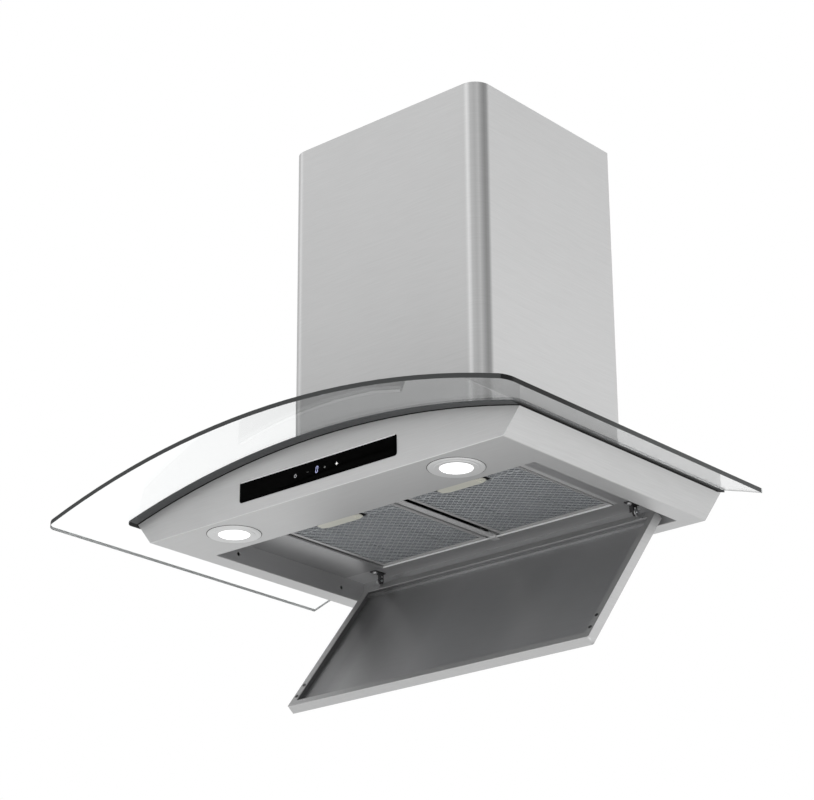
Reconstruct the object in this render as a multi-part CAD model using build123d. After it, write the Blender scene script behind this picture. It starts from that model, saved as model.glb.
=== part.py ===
"""A wall-mounted range hood with a curved glass canopy, a box chimney and a hinged perimeter panel.

Millimetres. +X is to the right of a person facing the wall, +Y goes into the wall and +Z is up.
The origin is on the wall face, midway along the rear bottom edge of the steel body.
The hinged panel is drawn hanging open on its stop; everything else is at home.
"""

from build123d import *
from math import cos, radians, sin, sqrt
import os

# Driving dimensions, millimetres
GLASS_WIDTH, GLASS_DEPTH, GLASS_THICK, GLASS_CORNER = 750.0, 498.0, 6.0, 12.0
GLASS_REAR = -2.0                      # the glass stops short of the wall
CROWN = 74.0                           # underside of the glass above the body's bottom, at the middle
ARC_RADIUS = 1224.0                    # underside of the bent glass
BODY_BOTTOM_HALF, BODY_TOP_HALF, BODY_DEPTH = 288.4, 313.4, 400.0
SHEET = 1.0                            # body sheet steel
SEAL_THICK, SEAL_FRONT, SEAL_SIDE, SEAL_INSIDE, SEAL_CORNER = 2.0, 14.0, 7.0, 22.0, 8.0
OPENING_HALF, OPENING_FRONT, OPENING_REAR = 262.0, -309.2, -23.4
DECK_Z = 28.0                          # underside of the deck that the filters hang in
CHIMNEY_HALF, CHIMNEY_DEPTH, CHIMNEY_TOP, CHIMNEY_CORNER = 163.5, 279.6, 556.0, 24.0
EXTENSION_SHEET, EXTENSION_LENGTH = 0.8, 430.0
FILTER_INNER, FILTER_OUTER, FILTER_FRONT, FILTER_REAR = 12.2, 190.2, -275.0, -62.0
FILTER_Z, FILTER_THICK, FILTER_RIM = 29.3, 9.0, 5.0
FILTER_PITCH = FILTER_INNER + FILTER_OUTER    # the two filters are alike, side by side
FILTER_PIVOT_Y, FILTER_PIVOT_Z = -68.0, 34.5
HANDLE_X, HANDLE_Y, HANDLE_WIDTH = 96.2, -242.0, 70.0
PANEL_HALF, PANEL_DEPTH, PANEL_THICK = 243.4, 248.8, 12.7
HINGE_Y, HINGE_Z, PANEL_OPEN_DEG = -43.5, 17.0, 52.0
PANEL_REAR, PANEL_TOP = -42.1, 11.9    # the closed panel's rear edge and upper rim
STRAP_X = 212.5
LAMP_X, LAMP_Y, LAMP_RADIUS, LENS_RADIUS = 182.5, -355.6, 34.3, 19.6
DISPLAY_HALF, DISPLAY_LOW, DISPLAY_HIGH, DISPLAY_PROUD = 129.3, 16.3, 43.6, 1.8
BLOWER_HALF, BLOWER_FRONT, BLOWER_REAR, BLOWER_TOP = 122.0, -250.0, -22.0, 308.0
WHEEL_Y, WHEEL_Z, WHEEL_RADIUS, WHEEL_HALF = -120.0, 180.0, 75.0, 68.0
COLLAR_Y, COLLAR_RADIUS, COLLAR_TOP = -150.0, 75.0, 356.0
DUCT_PIN_Z, DUCT_PIN_OFFSET = 327.0, 4.0

ARC_CENTRE_Z = CROWN - ARC_RADIUS
BODY_RADIUS = ARC_RADIUS - SEAL_THICK  # outside of the body's arched top
GLASS_TOP_RADIUS = ARC_RADIUS + GLASS_THICK


# Shared shapes
def block(x0, x1, y0, y1, z0, z1):
    """A box between two corners."""
    centre = Pos((x0 + x1) / 2, (y0 + y1) / 2, (z0 + z1) / 2)
    return centre * Box(abs(x1 - x0), abs(y1 - y0), abs(z1 - z0))


def rod_x(x0, x1, y, z, radius):
    """A round bar along X."""
    return Pos((x0 + x1) / 2, y, z) * Rot(0, 90, 0) * Cylinder(radius, abs(x1 - x0))


def rod_y(y0, y1, x, z, radius):
    """A round bar along Y."""
    return Pos(x, (y0 + y1) / 2, z) * Rot(90, 0, 0) * Cylinder(radius, abs(y1 - y0))


def rod_z(z0, z1, x, y, radius):
    """A round bar along Z."""
    return Pos(x, y, (z0 + z1) / 2) * Cylinder(radius, abs(z1 - z0))


def tube_z(z0, z1, x, y, inner, outer):
    """A ring or tube about a vertical axis."""
    return rod_z(z0, z1, x, y, outer) - rod_z(z0 - 1, z1 + 1, x, y, inner)


def arch_z(x, radius):
    """Height of an arch of this radius at x."""
    return ARC_CENTRE_Z + sqrt(radius**2 - x**2)


def arch_band(inner, outer, left, right, front, rear):
    """A strip of an arched sheet, between two radii and over one rectangle in plan."""
    high = ARC_CENTRE_Z + outer + 5
    low = arch_z(max(abs(left), abs(right)), inner) - 5
    column = block(left, right, front, rear, low, high)
    ring = rod_y(front, rear, 0, ARC_CENTRE_Z, outer) - rod_y(front - 1, rear + 1, 0, ARC_CENTRE_Z, inner)
    return column & ring


def plan_prism(half, front, rear, corner, z0, z1):
    """An upright block whose two front corners are rounded in plan."""
    face = Pos(0, (front + rear) / 2) * Rectangle(2 * half, rear - front)
    face = fillet(face.vertices().sort_by(Axis.Y)[:2], corner)
    return Pos(0, 0, z0) * extrude(face, z1 - z0)


def mirrored(part):
    """The same piece on the other side of the hood."""
    return mirror(part, Plane.YZ)


# Body
GLASS_SCREW_X, GLASS_SCREW_YS, GLASS_SCREW_RADIUS = 144.0, (-215.0, -65.0), 2.5
LAMP_HOLE_RADIUS = LAMP_RADIUS - 4.9


def body_section(inset, radius):
    """Front outline of the body: a flat bottom, flared sides and an arched top."""
    side_z = arch_z(BODY_TOP_HALF - inset, radius)
    bottom, top = BODY_BOTTOM_HALF - inset, BODY_TOP_HALF - inset
    outline = Polyline((top, side_z), (bottom, inset), (-bottom, inset), (-top, side_z))
    arch = ThreePointArc((-top, side_z), (0, ARC_CENTRE_Z + radius), (top, side_z))
    return make_face(Plane.XZ * (outline + arch))


def canopy_shell():
    """Welded steel body: front, flared sides, bottom flanges, back and arched top."""
    forward = (0, -1, 0)
    outer = extrude(body_section(0, BODY_RADIUS), BODY_DEPTH, dir=forward)
    inner = extrude(body_section(SHEET, BODY_RADIUS - SHEET), BODY_DEPTH - 2 * SHEET, dir=forward)
    inner = Pos(0, -SHEET, 0) * inner
    shell = outer - inner
    shell -= block(-OPENING_HALF, OPENING_HALF, OPENING_FRONT, OPENING_REAR, -5, 5)
    shell -= block(-BLOWER_HALF + 1, BLOWER_HALF - 1, BLOWER_FRONT + 1, BLOWER_REAR - 1, 40, 100)
    bond_end, bond_edge = 11.0, 3.0    # how far the touch panel laps the steel round its window
    shell -= block(
        -DISPLAY_HALF + bond_end, DISPLAY_HALF - bond_end, -BODY_DEPTH - 5, -BODY_DEPTH + 5,
        DISPLAY_LOW + bond_edge, DISPLAY_HIGH - bond_edge,
    )
    for side in (-1, 1):
        shell -= rod_z(-5, 5, side * LAMP_X, LAMP_Y, LAMP_HOLE_RADIUS)
        for y in GLASS_SCREW_YS:
            shell -= rod_z(40, 90, side * GLASS_SCREW_X, y, GLASS_SCREW_RADIUS)
    return shell


RECESS_GAP_FRONT, RECESS_GAP_REAR, RECESS_GAP_SIDE = -278.0, -61.5, 192.4
LIP_DEPTH = 1.5                        # the deck's edge is folded down round the filters
DIVIDER_HALF = 5.0                     # narrower than the 24 mm between the filters
WALL_HOLE_YS, WALL_HOLE_Z, WALL_HOLE_RADIUS = (-267.7, -68.3), 12.3, 2.6


def recess_liner():
    """Folded pan above the opening: four upright walls and the deck round the filters."""
    t, low, high = SHEET, SHEET, DECK_Z + SHEET
    pan = block(-OPENING_HALF - t, OPENING_HALF + t, OPENING_FRONT - t, OPENING_REAR + t, low, high)
    pan -= block(-OPENING_HALF, OPENING_HALF, OPENING_FRONT, OPENING_REAR, low - 5, DECK_Z)
    pan += block(
        -RECESS_GAP_SIDE - t, RECESS_GAP_SIDE + t, RECESS_GAP_FRONT - t, RECESS_GAP_REAR + t,
        DECK_Z - LIP_DEPTH, DECK_Z,
    )
    pan -= block(-RECESS_GAP_SIDE, RECESS_GAP_SIDE, RECESS_GAP_FRONT, RECESS_GAP_REAR, 20, 40)
    for y in WALL_HOLE_YS:
        pan -= rod_x(-OPENING_HALF - 5, OPENING_HALF + 5, y, WALL_HOLE_Z, WALL_HOLE_RADIUS)
    return pan


def filter_divider():
    """Folded strip between the two filters, with two pressed ribs and a hooked rear end."""
    half, lap, rib_x = DIVIDER_HALF, 7.0, 2.4
    strip = block(-half, half, RECESS_GAP_FRONT + 0.2, RECESS_GAP_REAR - 0.2, DECK_Z, DECK_Z + SHEET)
    for x in (-rib_x, rib_x):
        strip += block(x - 0.6, x + 0.6, RECESS_GAP_FRONT + 6, RECESS_GAP_REAR - 6, DECK_Z - 0.6, DECK_Z)
    for edge in (RECESS_GAP_FRONT, RECESS_GAP_REAR):
        strip += block(-half, half, edge - lap, edge + lap, DECK_Z + SHEET, DECK_Z + 2 * SHEET)
    hook_front, hook_rear, hook_low = RECESS_GAP_REAR - 3, RECESS_GAP_REAR + lap, DECK_Z - LIP_DEPTH - SHEET
    strip += block(-half, half, hook_front, RECESS_GAP_REAR - 0.2, hook_low, DECK_Z)
    strip += block(-half, half, hook_front, hook_rear, hook_low, hook_low + SHEET)
    return strip


LUG_RADIUS = 2.0                       # the filters' turning lugs


def filter_hangers():
    """Four upright plates on the deck; each filter's rear lugs turn in their holes."""
    plates = []
    for x in (RECESS_GAP_SIDE + 2.0, FILTER_INNER - 6.0):
        floor_z, foot_z = DECK_Z + SHEET, DECK_Z + 2 * SHEET
        plate = block(x, x + 1.6, -80, -55, foot_z, 41)
        plate -= rod_x(x - 1, x + 3, FILTER_PIVOT_Y, FILTER_PIVOT_Z, LUG_RADIUS + 0.08)
        if x < FILTER_INNER:
            foot = block(x - 5.2, x + 1.6, -80, -70, floor_z, foot_z)
        else:
            foot = block(x, x + 9, -80, -55, floor_z, foot_z)
        plates += [plate + foot, mirrored(plate + foot)]
    return plates


# Glass
NOTCH_HALF, NOTCH_FRONT = 134.0, -262.0


def glass_canopy():
    """Toughened pane bent about the front-to-back axis, notched at the rear for the blower."""
    front = GLASS_REAR - GLASS_DEPTH
    half = GLASS_WIDTH / 2
    low = arch_z(half, ARC_RADIUS) - 5
    pane = plan_prism(half, front, GLASS_REAR, GLASS_CORNER, low, ARC_CENTRE_Z + GLASS_TOP_RADIUS + 5)
    pane &= rod_y(front - 1, 5, 0, ARC_CENTRE_Z, GLASS_TOP_RADIUS)
    pane -= rod_y(front - 5, 5, 0, ARC_CENTRE_Z, ARC_RADIUS)
    pane -= block(-NOTCH_HALF, NOTCH_HALF, NOTCH_FRONT, 10, 40, 100)
    for side in (-1, 1):
        for y in GLASS_SCREW_YS:
            pane -= rod_z(40, 100, side * GLASS_SCREW_X, y, GLASS_SCREW_RADIUS + 1.5)
    return pane


def glass_seal():
    """Flat gasket between the body's top and the glass, standing out past the front and sides."""
    front, half = -BODY_DEPTH - SEAL_FRONT, BODY_TOP_HALF + SEAL_SIDE
    low = arch_z(half, BODY_RADIUS) - 5
    high = ARC_CENTRE_Z + ARC_RADIUS + 5
    ring = plan_prism(half, front, GLASS_REAR, SEAL_CORNER, low, high)
    inner_half = BODY_TOP_HALF - SEAL_INSIDE
    ring -= block(-inner_half, inner_half, -BODY_DEPTH + SEAL_INSIDE, 10, low - 5, high + 5)
    ring &= rod_y(front - 1, 5, 0, ARC_CENTRE_Z, ARC_RADIUS)
    ring -= rod_y(front - 5, 10, 0, ARC_CENTRE_Z, BODY_RADIUS)
    return ring


def glass_clamps():
    """Two bent strips that hold the glass down beside the blower."""
    left, right = GLASS_SCREW_X - 6.5, GLASS_SCREW_X + 6.5
    strip = arch_band(GLASS_TOP_RADIUS, GLASS_TOP_RADIUS + 2, left, right, -235, -45)
    for y in GLASS_SCREW_YS:
        strip -= rod_z(40, 100, GLASS_SCREW_X, y, GLASS_SCREW_RADIUS)
    return [strip, mirrored(strip)]


def glass_clamp_screws():
    """Pan-head screws through the clamps and the glass into the body."""
    screws = []
    for side in (-1, 1):
        for y in GLASS_SCREW_YS:
            x = side * GLASS_SCREW_X
            seat = arch_z(GLASS_SCREW_X - 4.5, GLASS_TOP_RADIUS + 2)
            shank = rod_z(seat - 16, seat, x, y, GLASS_SCREW_RADIUS)
            head = rod_z(seat, seat + 2.6, x, y, 4.5)
            socket = rod_z(seat + 1.0, seat + 3, x, y, 1.6)
            screws.append(shank + head - socket)
    return screws


# Chimney
def chimney_cover():
    """Folded steel cover, open at the back, whose bottom edge follows the bent glass."""
    low, t = 50.0, SHEET
    cover = plan_prism(CHIMNEY_HALF, -CHIMNEY_DEPTH, -1, CHIMNEY_CORNER, low, CHIMNEY_TOP)
    inner_half, inner_front = CHIMNEY_HALF - t, -CHIMNEY_DEPTH + t
    cover -= plan_prism(inner_half, inner_front, 20, CHIMNEY_CORNER - t, low - 1, CHIMNEY_TOP + 1)
    hem = block(inner_half - 9, inner_half, -2, -1, low, CHIMNEY_TOP)
    cover += hem + mirrored(hem)
    cover -= rod_y(-500, 50, 0, ARC_CENTRE_Z, GLASS_TOP_RADIUS + 0.3)
    return cover


EXTENSION_HALF, EXTENSION_FRONT, EXTENSION_REAR = CHIMNEY_HALF - 1.8, -CHIMNEY_DEPTH + 1.8, -2.6
EXTENSION_TOP = CHIMNEY_TOP - 4.0


def chimney_extension():
    """Upper chimney section that slides up out of the cover to meet the ceiling."""
    t, corner = EXTENSION_SHEET, CHIMNEY_CORNER - 1.8
    low = EXTENSION_TOP - EXTENSION_LENGTH
    wall = plan_prism(EXTENSION_HALF, EXTENSION_FRONT, EXTENSION_REAR, corner, low, EXTENSION_TOP)
    inner_half = EXTENSION_HALF - t
    wall -= plan_prism(inner_half, EXTENSION_FRONT + t, 20, corner - t, low - 1, EXTENSION_TOP + 1)
    hem = block(inner_half - 9, inner_half, EXTENSION_REAR - t, EXTENSION_REAR, low, EXTENSION_TOP)
    wall += hem + mirrored(hem)
    slot_top = EXTENSION_TOP - 24
    for row in range(7):
        z = slot_top - row * 9
        wall -= block(-200, 200, -190, -90, z, z + 4)
    return wall


BRACKET_LOW, BRACKET_HIGH, BRACKET_HOLE_X, BRACKET_HOLE_RADIUS = 524.0, 546.0, 100.0, 3.0


def chimney_bracket():
    """Flat wall bar behind the upper section, with a stepped ear at each end for its screw."""
    half = CHIMNEY_HALF - 13.7
    bar = block(-half, half, -2, 0, BRACKET_LOW, BRACKET_HIGH)
    seat = EXTENSION_REAR - EXTENSION_SHEET
    step = block(half - 2, half, seat - 2, -2, BRACKET_LOW, BRACKET_HIGH)
    ear = block(half, half + 9.5, seat - 2, seat, BRACKET_LOW, BRACKET_HIGH)
    bar += step + ear + mirrored(step + ear)
    for x in (-BRACKET_HOLE_X, BRACKET_HOLE_X):
        bar -= rod_y(-10, 5, x, (BRACKET_LOW + BRACKET_HIGH) / 2, BRACKET_HOLE_RADIUS)
    return bar


WALL_BOLT_X, WALL_BOLT_LOW, WALL_BOLT_HIGH, WALL_BOLT_RADIUS = 108.0, 130.0, 280.0, 4.0


def wall_plate():
    """Galvanised hanging plate behind the blower, with two side returns that meet its box."""
    plate = block(-132, 132, -2, 0, 84, 306)
    for side in (-1, 1):
        edge = side * BLOWER_HALF
        plate += block(edge - side * 2, edge, BLOWER_REAR, -2, 84, 306)
        for z in (WALL_BOLT_LOW, WALL_BOLT_HIGH):
            plate -= rod_y(-5, 5, side * WALL_BOLT_X, z, WALL_BOLT_RADIUS)
    return plate


# Blower
def blower_box():
    """Galvanised sheet box round the scroll, open at its bottom and holed at its top."""
    t = SHEET
    outer = block(-BLOWER_HALF, BLOWER_HALF, BLOWER_FRONT, BLOWER_REAR, 40, BLOWER_TOP)
    inner = block(-BLOWER_HALF + t, BLOWER_HALF - t, BLOWER_FRONT + t, BLOWER_REAR - t, 30, BLOWER_TOP - t)
    box = outer - inner - rod_y(-300, 50, 0, ARC_CENTRE_Z, BODY_RADIUS)
    return box - rod_z(BLOWER_TOP - 5, BLOWER_TOP + 5, 0, COLLAR_Y, COLLAR_RADIUS - 1.6)


def blower_flange():
    """Bent angle frame round the foot of the blower's box, resting on the body's top."""
    lip = 10.0
    frame = arch_band(
        BODY_RADIUS, BODY_RADIUS + 1.5, -BLOWER_HALF - lip, BLOWER_HALF + lip,
        BLOWER_FRONT - lip, BLOWER_REAR + lip,
    )
    return frame - block(-BLOWER_HALF, BLOWER_HALF, BLOWER_FRONT, BLOWER_REAR, 30, 120)


def scroll_outline(inset):
    """Side outline of the scroll: three quarter arcs of growing radius and an upright outlet."""
    radii = (84.0, 91.0, 98.0)
    grow = radii[1] - radii[0]
    top = BLOWER_TOP - SHEET - WHEEL_Z + (5 if inset else 0)
    first, second, third = (0.0, 0.0), (-grow, 0.0), (-grow, grow)
    r1, r2, r3 = (r - inset for r in radii)
    tongue_y = 45.0 - inset
    tongue = (tongue_y, sqrt(r1**2 - tongue_y**2))
    rear, low = (first[0] + r1, 0.0), (second[0], -r2)
    front = (third[0] - r3, third[1])
    half = sqrt(0.5)
    mid1_angle = radians(30)
    arcs = ThreePointArc(tongue, (r1 * cos(mid1_angle), r1 * sin(mid1_angle)), rear)
    arcs += ThreePointArc(rear, (second[0] + r2 * half, -r2 * half), low)
    arcs += ThreePointArc(low, (third[0] - r3 * half, third[1] - r3 * half), front)
    arcs += Polyline(front, (front[0], top), (tongue_y, top), tongue)
    return make_face(Plane.YZ * arcs)


SCROLL_HALF, SCROLL_WALL, INLET_RADIUS = 76.0, 2.0, 62.0


def scroll_housing():
    """Moulded double-inlet scroll that blows upwards."""
    place = Pos(-SCROLL_HALF, WHEEL_Y, WHEEL_Z)
    outer = place * extrude(scroll_outline(0), 2 * SCROLL_HALF, dir=(1, 0, 0))
    inner = Pos(-SCROLL_HALF + SCROLL_WALL, WHEEL_Y, WHEEL_Z) * extrude(
        scroll_outline(SCROLL_WALL), 2 * (SCROLL_HALF - SCROLL_WALL), dir=(1, 0, 0)
    )
    housing = outer - inner - rod_x(-90, 90, WHEEL_Y, WHEEL_Z, INLET_RADIUS)
    return housing


SHAFT_RADIUS, MOTOR_RADIUS = 4.0, 40.0


def fan_wheel():
    """Double-inlet centrifugal wheel: a middle disc with a hub, blades and two end rings."""
    place = Pos(0, WHEEL_Y, WHEEL_Z) * Rot(0, 90, 0)
    half, inner = WHEEL_HALF, WHEEL_RADIUS - 12
    wheel = Cylinder(WHEEL_RADIUS, 2) + Cylinder(11, 26)
    for side in (-1, 1):
        ring = Cylinder(WHEEL_RADIUS, 3) - Cylinder(inner, 4)
        wheel += Pos(0, 0, side * (half - 1.5)) * ring
    blades = 28
    for k in range(blades):
        blade = Pos((WHEEL_RADIUS + inner) / 2, 0, 0) * Rot(0, 0, 28) * Box(11, 1.2, 2 * half - 1)
        wheel += Rot(0, 0, 360 / blades * k) * blade
    wheel -= Cylinder(SHAFT_RADIUS, 60)
    return place * wheel


def motor_shaft():
    """Steel shaft from the motor to the wheel's hub."""
    return rod_x(-112, 18, WHEEL_Y, WHEEL_Z, SHAFT_RADIUS)


def hub_nut():
    """Left-hand nut that holds the wheel on its shaft."""
    place = Pos(13, WHEEL_Y, WHEEL_Z) * Rot(0, 90, 0)
    nut = extrude(RegularPolygon(7.5, 6), 5) - Cylinder(SHAFT_RADIUS, 20)
    return place * nut


def motor():
    """Motor can with cooling ribs, end boss and a through bore for the shaft."""
    place = Pos(-66, WHEEL_Y, WHEEL_Z) * Rot(0, 90, 0)
    can = Cylinder(MOTOR_RADIUS, 64) + Cylinder(14, 76)
    for z in range(-24, 25, 8):
        can += Pos(0, 0, z) * (Cylinder(MOTOR_RADIUS + 2, 3) - Cylinder(MOTOR_RADIUS - 1, 4))
    can -= Cylinder(SHAFT_RADIUS + 0.06, 100)
    return place * can


def motor_bracket():
    """Ring round the motor with three arms whose feet stand on the scroll's side."""
    place = Pos(0, WHEEL_Y, WHEEL_Z) * Rot(0, 90, 0)
    back, front = -96.0, -92.0
    ring = Pos(0, 0, (back + front) / 2) * (Cylinder(48, front - back) - Cylinder(MOTOR_RADIUS, 10))
    for angle in (90, 210, 330):
        arm = block(46, 71, -5, 5, back, front)
        foot = block(65, 71, -5, 5, front, -SCROLL_HALF)
        ring += Rot(0, 0, angle) * (arm + foot)
    return place * ring


FLANGE_THICK, COLLAR_FOOT = 2.0, 3.0
FLAP_PIN_RADIUS, FLAP_BORE_RADIUS, FLAP_THICK = 1.2, 1.28, 1.2


def outlet_collar():
    """Duct collar with a ledge inside for the flaps to rest on."""
    wall = 1.6
    inner = COLLAR_RADIUS - wall
    collar = tube_z(BLOWER_TOP, COLLAR_TOP, 0, COLLAR_Y, inner, COLLAR_RADIUS)
    collar += tube_z(BLOWER_TOP, BLOWER_TOP + FLANGE_THICK, 0, COLLAR_Y, inner, COLLAR_RADIUS + COLLAR_FOOT)
    collar += tube_z(BLOWER_TOP + 13, BLOWER_TOP + 15, 0, COLLAR_Y, inner - 4, inner)
    for side in (-1, 1):
        y = COLLAR_Y + side * DUCT_PIN_OFFSET
        collar -= rod_x(-90, 90, y, DUCT_PIN_Z, FLAP_PIN_RADIUS)
    return collar


def outlet_flange():
    """Flat ring that fixes the collar to the top of the blower's box."""
    inner, outer = COLLAR_RADIUS + COLLAR_FOOT, COLLAR_RADIUS + 14
    return tube_z(BLOWER_TOP, BLOWER_TOP + FLANGE_THICK, 0, COLLAR_Y, inner, outer)


def damper_pins():
    """Two wire pins across the collar that the flaps swing on."""
    return [
        rod_x(-74.4, 74.4, COLLAR_Y + side * DUCT_PIN_OFFSET, DUCT_PIN_Z, FLAP_PIN_RADIUS)
        for side in (-1, 1)
    ]


def damper_flap(side):
    """Half-round non-return flap with a knuckle along its straight edge."""
    pin_y = COLLAR_Y + side * DUCT_PIN_OFFSET
    low = DUCT_PIN_Z - 2.8
    disc = rod_z(low, low + FLAP_THICK, 0, COLLAR_Y, COLLAR_RADIUS - 2.4)
    far = pin_y + side * 90
    half_disc = disc & block(-90, 90, min(pin_y, far), max(pin_y, far), low - 5, low + 5)
    knuckle = rod_x(-64, 64, pin_y, DUCT_PIN_Z, 2.8)
    return half_disc + knuckle - rod_x(-90, 90, pin_y, DUCT_PIN_Z, FLAP_BORE_RADIUS)


# Electrics
GLAND_X, GLAND_Y, GLAND_RADIUS = -136.0, -85.0, 4.0


def terminal_box():
    """Moulded connection box on the side of the blower."""
    x0, x1, y0, y1, z0, z1 = -149.0, -BLOWER_HALF, -120.0, -50.0, 150.0, 230.0
    shell = block(x0, x1, y0, y1, z0, z1) - block(x0 + 2, x1 + 1, y0 + 2, y1 - 2, z0 + 2, z1 - 2)
    return shell - rod_z(z1 - 5, z1 + 5, GLAND_X, GLAND_Y, 6.0)


def cable_gland():
    """Threaded gland in the top of the connection box, open for the supply lead."""
    gland = rod_z(226, 230, GLAND_X, GLAND_Y, 6.0) + rod_z(230, 236, GLAND_X, GLAND_Y, 10.0)
    gland += rod_z(236, 246, GLAND_X, GLAND_Y, 8.0)
    return gland - rod_z(220, 250, GLAND_X, GLAND_Y, GLAND_RADIUS)


def run_capacitor():
    """Motor capacitor in its clip on the other side of the blower."""
    x = BLOWER_HALF + 15
    can = rod_z(160, 214, x, -85, 13.0) + rod_z(214, 218, x, -85, 11.0)
    return can + block(BLOWER_HALF, x, -92, -78, 180, 192)


def lamp_driver():
    """Small power supply for the lamps and the touch panel, on the front flange."""
    return block(20, 90, -368, -334, SHEET, 22) + block(15, 95, -360, -342, SHEET, 3)


# Controls
def control_glass():
    """Black glass touch panel, bonded to the front, with bevelled front edges."""
    middle = (DISPLAY_LOW + DISPLAY_HIGH) / 2
    face = RectangleRounded(2 * DISPLAY_HALF, DISPLAY_HIGH - DISPLAY_LOW, 2.5)
    plate = Pos(0, -BODY_DEPTH, middle) * extrude(Plane.XZ * face, DISPLAY_PROUD)
    front_edges = plate.faces().sort_by(Axis.Y)[0].edges()
    return chamfer(front_edges, 0.6)


def control_housing():
    """Moulded tray behind the front that holds the touch board."""
    outer = block(-122, 122, -BODY_DEPTH + SHEET, -384, 16, 44)
    return outer - block(-120, 120, -BODY_DEPTH + SHEET - 1, -386, 18, 42)


def control_board():
    """Touch board with its display module, standing behind the window."""
    board = block(-119, 119, -393, -391.4, 19, 41)
    return board + block(-14, 16, -398.6, -393, 22, 38) + block(-90, -60, -391.4, -387, 24, 36)


# Lamps
def lamp_bezel():
    """Turned trim ring with shallow steps, in the front flange."""
    ring = tube_z(-0.8, 0, LAMP_X, LAMP_Y, LENS_RADIUS, LAMP_RADIUS)
    ring += tube_z(-1.2, -0.8, LAMP_X, LAMP_Y, LENS_RADIUS, LAMP_RADIUS - 2.5)
    ring += tube_z(-1.6, -1.2, LAMP_X, LAMP_Y, LENS_RADIUS, LAMP_RADIUS - 8)
    ring += tube_z(0, 8, LAMP_X, LAMP_Y, LAMP_RADIUS - 6.5, LAMP_RADIUS - 5.1)
    return ring


def lamp_lens():
    """Frosted lens seated inside the trim ring."""
    lens = rod_z(-1.2, 0.4, LAMP_X, LAMP_Y, LENS_RADIUS)
    return lens + rod_z(0.4, 1.6, LAMP_X, LAMP_Y, LENS_RADIUS + 3)


def lamp_can():
    """Finned aluminium back of the lamp."""
    can = rod_z(1.6, 18, LAMP_X, LAMP_Y, LAMP_RADIUS - 6.5)
    for z in (6, 10, 14):
        can -= tube_z(z, z + 1.6, LAMP_X, LAMP_Y, LAMP_RADIUS - 11, LAMP_RADIUS)
    return can


# Filters
def filter_frame():
    """Folded steel frame of the right-hand filter, with a turning lug at each rear corner."""
    x0, x1, y0, y1 = FILTER_INNER, FILTER_OUTER, FILTER_FRONT, FILTER_REAR
    z0, z1, rim = FILTER_Z, FILTER_Z + FILTER_THICK, FILTER_RIM
    frame = block(x0, x1, y0, y1, z0, z1) - block(x0 + 1, x1 - 1, y0 + 1, y1 - 1, z0 + 1, z1 - 1)
    frame -= block(x0 + rim, x1 - rim, y0 + rim, y1 - rim, z0 - 5, z1 + 5)
    frame -= block(HANDLE_X - 5.2, HANDLE_X + 5.2, y0 - 2, y0 + rim + 1, z0 + 1, z0 + 4.6)
    for start, end in ((x1, x1 + 6.5), (x0 - 6.5, x0)):
        frame += rod_x(start, end, FILTER_PIVOT_Y, FILTER_PIVOT_Z, LUG_RADIUS)
    return frame


POCKET_HALF, POCKET_FRONT, POCKET_REAR = 39.0, -266.0, -232.0


def filter_mesh():
    """Pack of expanded aluminium mesh inside the frame, cut out for the handle's pocket."""
    x0, x1, y0, y1 = FILTER_INNER + 1, FILTER_OUTER - 1, FILTER_FRONT + 1, FILTER_REAR - 1
    z0 = FILTER_Z + 1
    pack = block(x0, x1, y0, y1, z0, FILTER_Z + FILTER_THICK - 1)
    pack -= block(HANDLE_X - POCKET_HALF, HANDLE_X + POCKET_HALF, FILTER_FRONT, POCKET_REAR, z0 - 5, z0 + 20)
    inner0, inner1 = FILTER_INNER + FILTER_RIM, FILTER_OUTER - FILTER_RIM
    pitch, groove = 8.9, 1.2
    count = int((inner1 - inner0) / pitch)
    for k in range(count):
        x = inner0 + (k + 0.5) * pitch
        front = POCKET_REAR + 2 if abs(x - HANDLE_X) < POCKET_HALF + 2 else FILTER_FRONT + FILTER_RIM
        pack -= block(x - groove, x + groove, front, FILTER_REAR - FILTER_RIM, z0 - 1, z0 + 0.8)
    return pack


def handle_pocket():
    """Moulded pocket in the filter that the fingers reach into; the latch slides in it."""
    x0, x1 = HANDLE_X - POCKET_HALF, HANDLE_X + POCKET_HALF
    z0, z1 = FILTER_Z + 1, FILTER_Z + FILTER_THICK - 1
    pocket = block(x0, x1, POCKET_FRONT, POCKET_REAR, z0, z1)
    pocket -= block(x0 + 1.5, x1 - 1.5, POCKET_FRONT + 1.5, POCKET_REAR - 1.5, z0 - 1, z1 - 1.2)
    pocket -= block(HANDLE_X - 5.3, HANDLE_X + 5.3, POCKET_FRONT - 1, POCKET_FRONT + 3, z0 - 1, z0 + 3.9)
    return pocket


HANDLE_LOW = FILTER_Z - 1.6
BLOCK_REAR = HANDLE_Y - 1.0
BOLT_TIP = RECESS_GAP_FRONT + 0.6


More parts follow.
